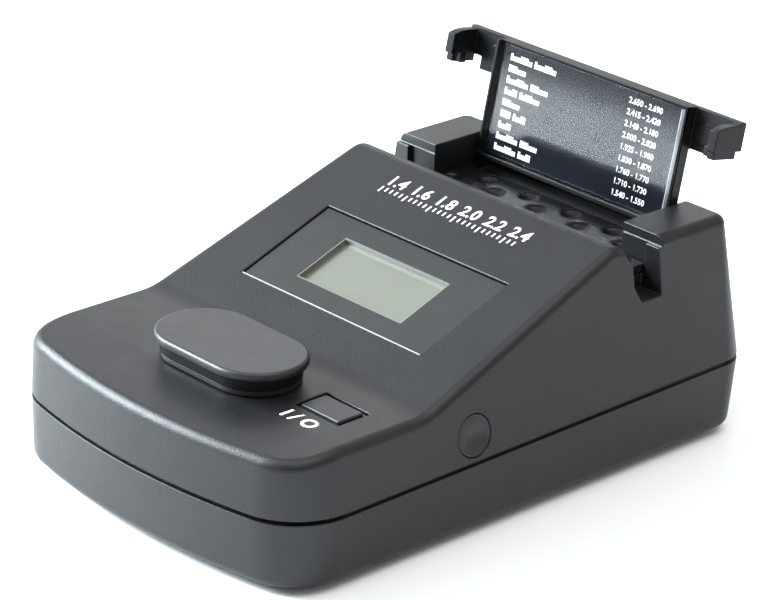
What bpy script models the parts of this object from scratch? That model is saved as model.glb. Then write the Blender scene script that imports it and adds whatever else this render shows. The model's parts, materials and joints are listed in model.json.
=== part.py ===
"""Desktop gem refractive index meter: a wedge-shaped two-part case with a sloping
display, a flip-up light shield over the test platform, a power button, a gem tray
and a hinged chart lid whose two hooks drop into notches in the sides of the case.

Metres, +Z up, +X to the right, -Y towards the user.  The origin is on the table,
under the middle of the instrument.
"""
import bpy
import bmesh
from math import atan, atan2, cos, hypot, pi, radians, sin, sqrt, tan
from mathutils import Matrix, Vector

MM = 0.001

# ---- driving dimensions -------------------------------------------------------
CASE_LENGTH = 152.6 * MM
FRONT_Y = -CASE_LENGTH / 2.0    # front of the case at the parting line
HALF_WIDTH = 50.1 * MM
WALL = 2.0 * MM
GAP = 0.3 * MM                  # clearance between neighbouring pieces

PARTING_FRONT = 18.3 * MM       # height of the joint between the two cases
PARTING_RISE = 1.7 * MM         # how much higher that joint is at the rear
FLOOR_Z = 1.6 * MM              # underside of the lower case

FRONT_SAGITTA = 7.0 * MM        # bow of the front wall over the half width
FRONT_CORNER = 17.0 * MM
REAR_CORNER = 8.8 * MM
SIDE_DRAFT = 0.163
FRONT_DRAFT = 0.10
REAR_DRAFT = 0.17
LOWER_DRAFT = 0.07
CORNER_UPRIGHT = 0.10           # how much steeper the walls stand in the front corners
TOP_ROUND = 2.6 * MM
BOTTOM_ROUND = 2.6 * MM

DECK_Z = 33.6 * MM              # flat area around the test platform
LIP_Z = 32.1 * MM               # deck height at the very front
LIP_BREAK = 20.5 * MM           # where the deck starts to fall towards the front
SLOPE_START = 45.6 * MM         # where the display slope leaves the deck
SLOPE = radians(20.4)
CREST_ROUND = 4.5 * MM
CREST_BACK = 112.6 * MM         # rear face of the crest, from the front
TOWER_Z = 55.7 * MM
TOWER_FRONT = 123.5 * MM
TOWER_INNER = 31.8 * MM

TRAY_Z = 47.8 * MM              # top of the gem tray
NOTCH_Z = 42.0 * MM             # bottom of the side notches
NOTCH_FRONT = 113.4 * MM
NOTCH_REAR = 122.25 * MM
POCKET_INNER = 40.2 * MM

BEZEL_FRONT = 59.5 * MM         # lower edge of the display bezel, from the front
BEZEL_LENGTH = 29.2 * MM
BEZEL_WIDTH = 61.4 * MM
BEZEL_DEPTH = 0.45 * MM         # bezel face below the slope
BEZEL_THICK = 1.0 * MM
WINDOW_WIDTH = 35.6 * MM
WINDOW_LENGTH = 16.4 * MM
WINDOW_UP = 6.2 * MM            # window edge above the bezel's lower edge

SHIELD_HALF_X = 20.6 * MM       # light shield, a stadium seen from above
SHIELD_HALF_Y = 12.0 * MM
SHIELD_Y = 30.0 * MM
SHIELD_TOP = 40.0 * MM
SHIELD_PLATE = 1.9 * MM
SHIELD_HINGE_Y = 41.1 * MM
SHIELD_HINGE_Z = 36.5 * MM

BUTTON_X = 31.25 * MM
BUTTON_Y = 32.6 * MM
BUTTON_WIDTH = 12.4 * MM
BUTTON_LENGTH = 7.6 * MM
BUTTON_TOP = 33.8 * MM          # about level with the deck, in a shallow recess
BUTTON_MOAT = 0.7 * MM          # recess around the button, beyond its running gap
BUTTON_MOAT_Z = 32.4 * MM

PLUG_Y = 59.7 * MM              # round blanking plug in the right wall
PLUG_Z = 25.5 * MM
PLUG_RADIUS = 4.8 * MM
PLUG_SINK = 0.6 * MM            # plug face below the wall

LID_HINGE_Y = 140.7 * MM
LID_HINGE_Z = 51.7 * MM
LID_LEAN = radians(11.0)        # the open lid leans back past upright
LID_HALF_X = 31.2 * MM
LID_THICK = 5.6 * MM
LID_AXIS_DEPTH = 3.4 * MM       # axis behind the front of the clear sheet
LID_LOW = -2.5 * MM             # bottom edge of the lid, below its axis
BAR_LOW = 17.5 * MM             # cross bar, measured up from the axis
BAR_HIGH = 27.75 * MM
BAR_THICK = 1.9 * MM
BAR_HALF_X = 45.2 * MM
HOOK_REACH = 8.1 * MM           # hooks in front of the bar's front face
HOOK_THICK = 2.5 * MM

CELL_RADIUS = 5.2 * MM          # four small round cells lying across the case
CELL_LENGTH = 44.5 * MM
CELL_PITCH = 11.2 * MM
CELL_FIRST_Y = 92.2 * MM
CELL_Z = 9.4 * MM
BAY_HALF_X = 27.0 * MM
BAY_FRONT = 86.0 * MM
BAY_REAR = 132.0 * MM
BAY_TOP = 15.2 * MM

ARC_STEPS = 6

COLLECTION = "refractive_index_meter"
CUTTERS = "cutters"


# ---- scene set-up -------------------------------------------------------------
def clear_scene():
    for old in list(bpy.data.objects):
        bpy.data.objects.remove(old, do_unlink=True)


def new_collection(name):
    group = bpy.data.collections.new(name)
    bpy.context.scene.collection.children.link(group)
    return group


clear_scene()
PARTS = new_collection(COLLECTION)
TOOLS = new_collection(CUTTERS)


def material(name, colour, roughness, metallic=0.0, alpha=1.0):
    """A Principled material in one flat colour."""
    made = bpy.data.materials.new(name)
    made.use_nodes = True
    shader = made.node_tree.nodes["Principled BSDF"]
    shader.inputs["Base Color"].default_value = (*colour, 1.0)
    shader.inputs["Roughness"].default_value = roughness
    shader.inputs["Metallic"].default_value = metallic
    shader.inputs["Alpha"].default_value = alpha
    return made


CASE_BLACK = material("case_black", (0.030, 0.031, 0.034), 0.42)
LID_BLACK = material("lid_black", (0.024, 0.025, 0.028), 0.34)
SHIELD_BLACK = material("shield_black", (0.034, 0.035, 0.038), 0.48)
BUTTON_GREY = material("button_grey", (0.045, 0.046, 0.050), 0.50)
RUBBER_BLACK = material("rubber_black", (0.020, 0.020, 0.021), 0.80)
LCD_GREY = material("lcd_grey", (0.52, 0.54, 0.49), 0.18)
CLEAR_SHEET = material("clear_sheet", (0.90, 0.93, 0.95), 0.06, alpha=0.3)
CARD_BLACK = material("card_black", (0.015, 0.016, 0.019), 0.30)
STEEL = material("steel", (0.62, 0.62, 0.64), 0.28, metallic=1.0)
NICKEL = material("nickel", (0.70, 0.68, 0.62), 0.32, metallic=1.0)
GLASS = material("glass", (0.80, 0.86, 0.92), 0.04, alpha=0.35)
BOARD_GREEN = material("board_green", (0.035, 0.16, 0.07), 0.45)
CHIP_BLACK = material("chip_black", (0.018, 0.018, 0.020), 0.55)
CELL_SLEEVE = material("cell_sleeve", (0.16, 0.19, 0.24), 0.35)
RIBBON_GREY = material("ribbon_grey", (0.42, 0.43, 0.45), 0.50)


# ---- general helpers ----------------------------------------------------------
def y_at(distance):
    """World Y of a place given by its distance from the front of the case."""
    return FRONT_Y + distance


def add_object(name, mesh, group, finish=None):
    made = bpy.data.objects.new(name, mesh)
    group.objects.link(made)
    if finish is not None:
        mesh.materials.append(finish)
    return made


def mesh_from(builder, name):
    """A mesh filled from a bmesh, with its faces pointing out."""
    bmesh.ops.recalc_face_normals(builder, faces=builder.faces)
    mesh = bpy.data.meshes.new(name)
    builder.to_mesh(mesh)
    builder.free()
    return mesh


def box_mesh(name, low, high):
    builder = bmesh.new()
    bmesh.ops.create_cube(builder, size=1.0)
    size = Vector(high) - Vector(low)
    middle = (Vector(high) + Vector(low)) / 2.0
    bmesh.ops.scale(builder, vec=size, verts=builder.verts)
    bmesh.ops.translate(builder, vec=middle, verts=builder.verts)
    return mesh_from(builder, name)


def rod_mesh(name, radius, low, high, steps=24, tip_radius=None):
    """A cylinder or cone along Z from low to high."""
    builder = bmesh.new()
    tip = radius if tip_radius is None else tip_radius
    bmesh.ops.create_cone(builder, cap_ends=True, segments=steps, radius1=radius,
                          radius2=tip, depth=high - low)
    bmesh.ops.translate(builder, vec=(0.0, 0.0, (low + high) / 2.0), verts=builder.verts)
    return mesh_from(builder, name)


ALONG_X = Matrix.Rotation(pi / 2.0, 4, "Y")
ALONG_Y = Matrix.Rotation(-pi / 2.0, 4, "X")


def part(name, mesh, finish, place=None):
    made = add_object(name, mesh, PARTS, finish)
    if place is not None:
        made.matrix_world = place
    return made


def cutter(name, mesh, place=None):
    made = add_object(name, mesh, TOOLS)
    made.hide_render = True
    made.display_type = "WIRE"
    if place is not None:
        made.matrix_world = place
    return made


def boolean(target, tool, operation="DIFFERENCE"):
    cut = target.modifiers.new(operation.lower(), "BOOLEAN")
    cut.operation = operation
    cut.solver = "EXACT"
    cut.object = tool
    return cut


def cut_box(target, low, high, operation="DIFFERENCE", place=None):
    name = target.name + "_cut_" + str(len(target.modifiers))
    return boolean(target, cutter(name, box_mesh(name, low, high), place), operation)


def cut_rod(target, radius, low, high, place, operation="DIFFERENCE", steps=24):
    name = target.name + "_cut_" + str(len(target.modifiers))
    return boolean(target, cutter(name, rod_mesh(name, radius, low, high, steps), place),
                   operation)


def bevel(target, width, segments=2, angle=35.0):
    edge = target.modifiers.new("bevel", "BEVEL")
    edge.width = width
    edge.segments = segments
    edge.limit_method = "ANGLE"
    edge.angle_limit = radians(angle)
    return edge


def smooth(target, angle=32.0):
    target.data.shade_smooth()
    target.data.set_sharp_from_angle(angle=radians(angle))


def at(x, distance, z):
    """A placement at X, a distance from the front, and Z."""
    return Matrix.Translation((x, y_at(distance), z))


def outline_mesh(name, points, low, high):
    """A flat outline in XY as a filled 2D curve, extruded between two heights."""
    curve = bpy.data.curves.new(name, "CURVE")
    curve.dimensions = "2D"
    curve.fill_mode = "BOTH"
    curve.extrude = (high - low) / 2.0
    line = curve.splines.new("POLY")
    line.points.add(len(points) - 1)
    for knot, (x, y) in zip(line.points, points):
        knot.co = (x, y, 0.0, 1.0)
    line.use_cyclic_u = True
    holder = bpy.data.objects.new(name, curve)
    TOOLS.objects.link(holder)
    graph = bpy.context.evaluated_depsgraph_get()
    mesh = bpy.data.meshes.new_from_object(holder.evaluated_get(graph))
    bpy.data.objects.remove(holder, do_unlink=True)
    builder = bmesh.new()
    builder.from_mesh(mesh)
    bmesh.ops.remove_doubles(builder, verts=builder.verts, dist=0.00001)
    bmesh.ops.translate(builder, vec=(0.0, 0.0, (low + high) / 2.0), verts=builder.verts)
    bpy.data.meshes.remove(mesh)
    return mesh_from(builder, name)


def stadium(half_x, half_y, steps=10):
    """Points of a stadium whose long side is along X."""
    points = []
    for side in (1, -1):
        centre = side * (half_x - half_y)
        start = -pi / 2.0 if side == 1 else pi / 2.0
        for step in range(steps + 1):
            angle = start + pi * step / steps
            points.append((centre + half_y * cos(angle), half_y * sin(angle)))
    return points


# ---- the outer form of the case -------------------------------------------------
def slope_z(distance):
    """Height of the display slope's plane."""
    return DECK_Z + (distance - SLOPE_START) * tan(SLOPE)


CREST_CENTRE_Y = CREST_BACK - CREST_ROUND
CREST_CENTRE_Z = slope_z(CREST_CENTRE_Y) - CREST_ROUND / cos(SLOPE)
CREST_TANGENT_Y = CREST_CENTRE_Y - CREST_ROUND * sin(SLOPE)
BLEND_RADIUS = 18.0 * MM        # hollow between deck and slope
BLEND_HALF = BLEND_RADIUS * tan(SLOPE / 2.0)


def top_z(distance):
    """Height of the top surface at a distance from the front."""
    if distance < LIP_BREAK:
        return LIP_Z + (DECK_Z - LIP_Z) * max(distance, 0.0) / LIP_BREAK
    if distance < SLOPE_START - BLEND_HALF:
        return DECK_Z
    if distance < SLOPE_START + BLEND_HALF * cos(SLOPE):
        run = distance - (SLOPE_START - BLEND_HALF)
        return DECK_Z + BLEND_RADIUS - sqrt(BLEND_RADIUS ** 2 - run ** 2)
    if distance < CREST_TANGENT_Y:
        return slope_z(distance)
    if distance < CREST_BACK - 0.2 * MM:
        run = distance - CREST_CENTRE_Y
        return CREST_CENTRE_Z + sqrt(CREST_ROUND ** 2 - run ** 2)
    return TOWER_Z


def parting_z(distance):
    return PARTING_FRONT + PARTING_RISE * distance / CASE_LENGTH


def side_distances():
    """Where the side wall needs points: the bends of the top surface."""
    blend_start = SLOPE_START - BLEND_HALF
    blend_end = SLOPE_START + BLEND_HALF * cos(SLOPE)
    places = [LIP_BREAK, (LIP_BREAK + blend_start) / 2.0]
    for step in range(5):
        places.append(blend_start + (blend_end - blend_start) * step / 4.0)
    for step in range(1, 4):
        places.append(blend_end + (CREST_TANGENT_Y - blend_end) * step / 4.0)
    for step in range(ARC_STEPS + 1):
        swing = SLOPE - (SLOPE + radians(72.0)) * step / ARC_STEPS
        places.append(CREST_CENTRE_Y - CREST_ROUND * sin(swing))
    places += [CREST_BACK + 0.3 * MM, TOWER_FRONT, (TOWER_FRONT + CASE_LENGTH) / 2.0]
    return places


def outline_stations():
    """Half of the case's plan at the parting line, from front centre to rear centre.

    Each station is a point (x, distance) and the inward direction there.
    """
    front_radius = (HALF_WIDTH ** 2 + FRONT_SAGITTA ** 2) / (2.0 * FRONT_SAGITTA)
    reach_x = HALF_WIDTH - FRONT_CORNER
    corner_y = front_radius - sqrt((front_radius - FRONT_CORNER) ** 2 - reach_x ** 2)
    tangent = atan2(reach_x, front_radius - corner_y)
    stations = []
    for step in range(ARC_STEPS):
        angle = tangent * step / ARC_STEPS
        point = (front_radius * sin(angle), front_radius * (1.0 - cos(angle)))
        stations.append((point, (-sin(angle), cos(angle))))
    for step in range(ARC_STEPS + 1):
        angle = tangent + (pi / 2.0 - tangent) * step / ARC_STEPS
        point = (reach_x + FRONT_CORNER * sin(angle), corner_y - FRONT_CORNER * cos(angle))
        stations.append((point, (-sin(angle), cos(angle))))
    for distance in side_distances():
        stations.append(((HALF_WIDTH, distance), (-1.0, 0.0)))
    rear_x = HALF_WIDTH - REAR_CORNER
    rear_y = CASE_LENGTH - REAR_CORNER
    for step in range(ARC_STEPS + 1):
        angle = pi / 2.0 * step / ARC_STEPS
        point = (rear_x + REAR_CORNER * cos(angle), rear_y + REAR_CORNER * sin(angle))
        stations.append((point, (-cos(angle), -sin(angle))))
    stations.append(((TOWER_INNER, CASE_LENGTH), (0.0, -1.0)))
    stations.append(((0.0, CASE_LENGTH), (0.0, -1.0)))
    return stations


STATIONS = outline_stations()


def wall_draft(inward):
    """Draft of the upper case's wall, which differs between front, sides and rear."""
    end_draft = FRONT_DRAFT if inward[1] > 0.0 else REAR_DRAFT
    draft = SIDE_DRAFT * inward[0] ** 2 + end_draft * inward[1] ** 2
    return draft - CORNER_UPRIGHT * front_corner_share(inward)


def front_corner_share(inward):
    """One in the middle of a front corner, nothing on the straight walls."""
    if inward[1] <= 0.0:
        return 0.0
    return 4.0 * (inward[0] * inward[1]) ** 2


def upper_rings(shrink, rounding):
    """Rings of the upper case from the parting line up to the rounded top edge."""
    rings = []
    sink = 1.5 * MM if shrink > 0.0 else -GAP / 2.0
    levels = [None] + [pi / 2.0 * step / 4 for step in range(5)]
    for turn in levels:
        ring = []
        for (x, distance), inward in STATIONS:
            draft = wall_draft(inward)
            rise = top_z(distance) - shrink - rounding - parting_z(distance)
            if turn is None:
                inset = shrink - draft * sink
                z = parting_z(distance) - sink
            else:
                inset = shrink + draft * rise + rounding * (1.0 - cos(turn))
            px = max(x + inward[0] * inset, 0.0)
            py = distance + inward[1] * inset
            if turn is not None:
                z = top_z(py) - shrink - rounding * (1.0 - sin(turn))
            ring.append((px, py, z))
        rings.append(ring)
    return rings


def lower_rings(shrink, rounding):
    """Rings of the lower case from the rounded bottom edge up to the parting line."""
    rings = []
    lift = 1.5 * MM if shrink > 0.0 else -GAP / 2.0
    bottom = FLOOR_Z + shrink
    levels = [None] + [pi / 2.0 * step / 4 for step in range(5)]
    for turn in levels:
        ring = []
        for (x, distance), inward in STATIONS:
            depth = parting_z(distance) - bottom - rounding
            draft = LOWER_DRAFT * (1.0 - 0.6 * front_corner_share(inward))
            if turn is None:
                inset = shrink - draft * lift
                z = parting_z(distance) + lift
            else:
                inset = shrink + draft * depth + rounding * (1.0 - cos(turn))
                z = bottom + rounding * (1.0 - sin(turn))
            ring.append((max(x + inward[0] * inset, 0.0), distance + inward[1] * inset, z))
        rings.append(ring)
    return rings


def close_end(builder, row):
    """Strips from a ring across to the middle plane; the straight rear edge ends them."""
    rear = row[-1].co.y
    straight = min(k for k, vert in enumerate(row) if abs(vert.co.y - rear) < 0.0000005)
    middle = [row[0]]
    for vert in row[1:straight]:
        middle.append(builder.verts.new((0.0, vert.co.y, vert.co.z)))
    builder.faces.new((row[0], row[1], middle[1]))
    for k in range(1, straight - 1):
        builder.faces.new((row[k], row[k + 1], middle[k + 1], middle[k]))
    builder.faces.new([row[straight - 1]] + row[straight:] + [middle[straight - 1]])


def lofted_half(name, rings):
    """Skin the rings, close the two ends with strips across to the middle plane."""
    builder = bmesh.new()
    rows = []
    for ring in rings:
        rows.append([builder.verts.new((x, y_at(d), z)) for x, d, z in ring])
    count = len(rings[0])
    for lower, upper in zip(rows, rows[1:]):
        for k in range(count - 1):
            builder.faces.new((lower[k], lower[k + 1], upper[k + 1], upper[k]))
    for row in (rows[0], rows[-1]):
        close_end(builder, row)
    bmesh.ops.remove_doubles(builder, verts=builder.verts, dist=0.000002)
    return mesh_from(builder, name)


def case_form(name, rings, as_cutter=True):
    """A closed form of the case, mirrored about the middle plane."""
    mesh = lofted_half(name, rings)
    made = cutter(name, mesh) if as_cutter else part(name, mesh, CASE_BLACK)
    halves = made.modifiers.new("mirror", "MIRROR")
    halves.use_axis = (True, False, False)
    halves.merge_threshold = 0.000005
    halves.use_clip = True
    return made


PROFILE = Matrix(((0, 0, 1, 0), (1, 0, 0, 0), (0, 1, 0, 0), (0, 0, 0, 1)))
SLOPE_PLACE = at(0.0, BEZEL_FRONT, slope_z(BEZEL_FRONT)) @ Matrix.Rotation(SLOPE, 4, "X")
LID_PLACE = at(0.0, LID_HINGE_Y, LID_HINGE_Z) @ Matrix.Rotation(-LID_LEAN, 4, "X")

POST_SPOTS = [(side * x, distance) for x, distance in ((41.0 * MM, 25.0 * MM),
                                                       (38.0 * MM, 129.0 * MM))
              for side in (-1, 1)]
FOOT_SPOTS = [(side * x, distance) for x, distance in ((36.0 * MM, 16.0 * MM),
                                                       (38.0 * MM, 139.0 * MM))
              for side in (-1, 1)]
BOARD_SPOTS = [(side * 27.0 * MM, distance) for distance in (17.0 * MM, 75.0 * MM)
               for side in (-1, 1)]
DISPLAY_SPOTS = [(side * 30.0 * MM, up) for up in (1.0 * MM, 28.0 * MM) for side in (-1, 1)]
HEAD_SEAT_Z = 8.0 * MM          # where a case screw's head bears
BOARD_Z = 8.3 * MM              # underside of the main board
BOARD_THICK = 1.6 * MM
DEEP = 80.0 * MM                # cutters run well past the case
TRAY_THICK = 2.0 * MM
REAR_WALL_FRONT = 145.7 * MM    # low wall behind the lid closes the well's stem
REAR_WALL_Z = 50.0 * MM
WELL_Z = TRAY_Z - TRAY_THICK - GAP
BAR_SEAT_Z = 53.2 * MM          # side walls beside the bar stop here


# ---- the upper case --------------------------------------------------------------
NOTCH_FRONT_WALL = 4.0 * MM     # upright part of the notch's front wall, above its floor
NOTCH_CORNER = 2.2 * MM
PAD_HALF_X = 34.0 * MM          # thicker pad under the slope
PAD_LOW, PAD_HIGH = -3.0 * MM, 32.0 * MM
PAD_UNDER, PAD_OVER = -3.2 * MM, -0.9 * MM
GLASS_HALF_X = 27.0 * MM        # opening for the display glass
GLASS_FROM, GLASS_TO = 3.0 * MM, 26.0 * MM
DISPLAY_POST_RADIUS = 1.9 * MM
DISPLAY_POST_LOW = -7.9 * MM
BASE_OPENING = (17.8 * MM, 9.3 * MM)
BUTTON_SHAFT_LOW = 29.0 * MM
ABOVE_DECK = 40.0 * MM
PLUG_HOLE_REACH = 6.0 * MM
PIN_SEAT_X = 33.0 * MM
PIN_SEAT_RADIUS = 1.1 * MM
PIN_SEAT_REACH = 1.8 * MM
UPPER_POST_RADIUS = 3.4 * MM
SCREW_PILOT_RADIUS = 1.35 * MM
SCREW_PILOT_DEPTH = 10.5 * MM


def notch_outline(grow):
    """Side notch seen from the right: distance against height, one lower corner cut."""
    low = NOTCH_Z - grow
    front = NOTCH_FRONT - grow
    rear = NOTCH_REAR + grow
    return [(y_at(front), DEEP), (y_at(front), low + NOTCH_FRONT_WALL),
            (y_at(front + NOTCH_CORNER), low), (y_at(rear), low), (y_at(rear), DEEP)]


def well_outline(grow):
    """Tee-shaped well from above: a wide cross part and a stem behind it."""
    half = [(POCKET_INNER + grow, y_at(CREST_BACK - grow)),
            (POCKET_INNER + grow, y_at(TOWER_FRONT + grow)),
            (TOWER_INNER + grow, y_at(TOWER_FRONT + grow)),
            (TOWER_INNER + grow, y_at(REAR_WALL_FRONT) + grow)]
    return half + [(-x, y) for x, y in reversed(half)]


def add_wells(target, grow):
    """Cut the gem tray's well and the two hook pockets, grown by a wall thickness."""
    well = outline_mesh(target.name + "_well", well_outline(grow), WELL_Z - grow, DEEP)
    boolean(target, cutter(target.name + "_well", well))
    cut_box(target, (-TOWER_INNER - grow, y_at(TOWER_FRONT), REAR_WALL_Z - grow),
            (TOWER_INNER + grow, y_at(CASE_LENGTH) + DEEP, DEEP))
    for side in (1, -1):
        name = target.name + ("_notch_right" if side == 1 else "_notch_left")
        inner = POCKET_INNER - grow - 0.5 * MM
        low_x, high_x = (inner, DEEP) if side == 1 else (-DEEP, -inner)
        mesh = outline_mesh(name, notch_outline(grow), low_x, high_x)
        boolean(target, cutter(name, mesh, PROFILE))


def make_upper_case():
    cavity = case_form("upper_cavity", upper_rings(WALL, 0.5 * MM))
    add_wells(cavity, WALL)
    shell = case_form("upper_case", upper_rings(0.0, TOP_ROUND), as_cutter=False)
    boolean(shell, cavity)
    add_wells(shell, 0.0)
    cut_box(shell, (-DEEP, y_at(CREST_BACK), BAR_SEAT_Z), (DEEP, y_at(TOWER_FRONT), DEEP))
    # a thicker pad under the slope carries the bezel and the display board
    cut_box(shell, (-PAD_HALF_X, PAD_LOW, PAD_UNDER), (PAD_HALF_X, PAD_HIGH, PAD_OVER),
            "UNION", SLOPE_PLACE)
    for x, up in DISPLAY_SPOTS:
        place = SLOPE_PLACE @ Matrix.Translation((x, up, 0.0))
        cut_rod(shell, DISPLAY_POST_RADIUS, DISPLAY_POST_LOW, -2.0 * MM, place, "UNION", 16)
    half = BEZEL_WIDTH / 2.0
    ledge = -(BEZEL_DEPTH + BEZEL_THICK + 0.15 * MM)
    cut_box(shell, (-half, 0.0, ledge), (half, BEZEL_LENGTH, 10.0 * MM), place=SLOPE_PLACE)
    cut_box(shell, (-GLASS_HALF_X, GLASS_FROM, -9.0 * MM), (GLASS_HALF_X, GLASS_TO, MM),
            place=SLOPE_PLACE)
    # light shield base, power button and blanking plug
    opening = outline_mesh("base_opening", stadium(*BASE_OPENING), 26.0 * MM, ABOVE_DECK)
    boolean(shell, cutter("base_opening", opening, at(0.0, SHIELD_Y, 0.0)))
    half_x = BUTTON_WIDTH / 2.0 + GAP
    half_y = BUTTON_LENGTH / 2.0 + GAP
    cut_box(shell, (BUTTON_X - half_x, y_at(BUTTON_Y - half_y), BUTTON_SHAFT_LOW),
            (BUTTON_X + half_x, y_at(BUTTON_Y + half_y), ABOVE_DECK))
    half_x += BUTTON_MOAT
    half_y += BUTTON_MOAT
    cut_box(shell, (BUTTON_X - half_x, y_at(BUTTON_Y - half_y), BUTTON_MOAT_Z),
            (BUTTON_X + half_x, y_at(BUTTON_Y + half_y), ABOVE_DECK))
    cut_rod(shell, PLUG_RADIUS + GAP, -PLUG_HOLE_REACH, PLUG_HOLE_REACH, PLUG_PLACE,
            steps=32)
    # lid hinge pins sit in the inner walls of the two towers
    for side in (-1, 1):
        place = at(side * PIN_SEAT_X, LID_HINGE_Y, LID_HINGE_Z) @ ALONG_X
        cut_rod(shell, PIN_SEAT_RADIUS, -PIN_SEAT_REACH, PIN_SEAT_REACH, place, steps=16)
    for x, distance in POST_SPOTS:
        place = at(x, distance, 0.0)
        low = parting_z(distance) + 0.2 * MM
        cut_rod(shell, UPPER_POST_RADIUS, low, top_z(distance) - 0.8 * MM, place, "UNION", 20)
        cut_rod(shell, SCREW_PILOT_RADIUS, low - MM, low + SCREW_PILOT_DEPTH, place, steps=16)
    smooth(shell)
    return shell


def plug_place():
    """Frame on the right wall, Z pointing out of it."""
    lean = atan(SIDE_DRAFT)
    x = HALF_WIDTH - SIDE_DRAFT * (PLUG_Z - parting_z(PLUG_Y))
    return at(x, PLUG_Y, PLUG_Z) @ Matrix.Rotation(-lean, 4, "Y") @ ALONG_X


PLUG_PLACE = plug_place()


# ---- the lower case --------------------------------------------------------------
DOOR_HALF_X = BAY_HALF_X - GAP
DOOR_FRONT = 84.0 * MM
DOOR_LIP = 1.5 * MM             # the door's wider upper layer runs in side grooves
DOOR_SPLIT_Z = 2.7 * MM
DOOR_TOP_Z = 3.5 * MM
BAY_WALL = 4.0 * MM             # solid left around the battery bay
LOWER_POST_RADIUS = 4.2 * MM
SCREW_HOLE_RADIUS = 1.6 * MM
HEAD_SEAT_RADIUS = 3.0 * MM
FOOT_SEAT_RADIUS = 4.6 * MM
FOOT_SEAT_DEPTH = 0.7 * MM
BOARD_POST_RADIUS = 2.6 * MM
BOARD_PILOT_RADIUS = 1.05 * MM
GRIP_REAR = 136.0 * MM          # finger grooves across the door
GRIP_PITCH = 2.4 * MM
GRIP_RADIUS = 0.5 * MM
GRIP_HALF_X = 9.0 * MM


def make_lower_case():
    cavity = case_form("lower_cavity", lower_rings(WALL, 0.8 * MM))
    outer_x = BAY_HALF_X + BAY_WALL
    cut_box(cavity, (-outer_x, y_at(BAY_FRONT - BAY_WALL), 0.0),
            (outer_x, y_at(BAY_REAR + WALL), BAY_TOP + 1.6 * MM))
    cut_box(cavity, (-outer_x, y_at(BAY_FRONT - BAY_WALL), 0.0),
            (outer_x, y_at(CASE_LENGTH) + MM, DOOR_TOP_Z + 2.2 * MM))
    shell = case_form("lower_case", lower_rings(0.0, BOTTOM_ROUND), as_cutter=False)
    boolean(shell, cavity)
    past_rear = y_at(CASE_LENGTH) + 10.0 * MM
    cut_box(shell, (-BAY_HALF_X, y_at(BAY_FRONT), MM), (BAY_HALF_X, y_at(BAY_REAR), BAY_TOP))
    cut_box(shell, (-BAY_HALF_X, y_at(DOOR_FRONT - GAP), -MM),
            (BAY_HALF_X, past_rear, DOOR_SPLIT_Z + GAP))
    lip_x = BAY_HALF_X + DOOR_LIP
    cut_box(shell, (-lip_x, y_at(DOOR_FRONT - GAP), DOOR_SPLIT_Z - GAP),
            (lip_x, past_rear, DOOR_TOP_Z + GAP))
    for x, distance in POST_SPOTS:
        place = at(x, distance, 0.0)
        top = parting_z(distance) - 0.2 * MM
        cut_rod(shell, LOWER_POST_RADIUS, 2.6 * MM, top, place, "UNION", 20)
        cut_rod(shell, SCREW_HOLE_RADIUS, MM, top + MM, place, steps=16)
        cut_rod(shell, HEAD_SEAT_RADIUS, 0.0, HEAD_SEAT_Z, place, steps=20)
    for x, distance in FOOT_SPOTS:
        cut_rod(shell, FOOT_SEAT_RADIUS, 0.0, FLOOR_Z + FOOT_SEAT_DEPTH,
                at(x, distance, 0.0), steps=24)
    for x, distance in BOARD_SPOTS:
        place = at(x, distance, 0.0)
        cut_rod(shell, BOARD_POST_RADIUS, 3.0 * MM, BOARD_Z - 0.2 * MM, place, "UNION", 16)
        cut_rod(shell, BOARD_PILOT_RADIUS, 4.0 * MM, BOARD_Z + MM, place, steps=12)
    smooth(shell)
    return shell


def make_battery_door():
    """Door trimmed to the case's own outer form, so that its rear end is flush."""
    low = (-DOOR_HALF_X, y_at(DOOR_FRONT), 0.0)
    high = (DOOR_HALF_X, y_at(CASE_LENGTH) + MM, DOOR_SPLIT_Z + 0.05 * MM)
    door = part("battery_door", box_mesh("battery_door", low, high), CASE_BLACK)
    lip_x = DOOR_HALF_X + DOOR_LIP
    cut_box(door, (-lip_x, y_at(DOOR_FRONT), DOOR_SPLIT_Z),
            (lip_x, y_at(CASE_LENGTH) - 2.0 * MM, DOOR_TOP_Z), "UNION")
    boolean(door, case_form("door_form", lower_rings(0.0, BOTTOM_ROUND)), "INTERSECT")
    for row in range(4):
        place = at(0.0, GRIP_REAR - row * GRIP_PITCH, FLOOR_Z) @ ALONG_X
        cut_rod(door, GRIP_RADIUS, -GRIP_HALF_X, GRIP_HALF_X, place, steps=10)
    return door


# ---- display stack ---------------------------------------------------------------
def slope_box(name, low, high, finish):
    return part(name, box_mesh(name, low, high), finish, SLOPE_PLACE)


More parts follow.
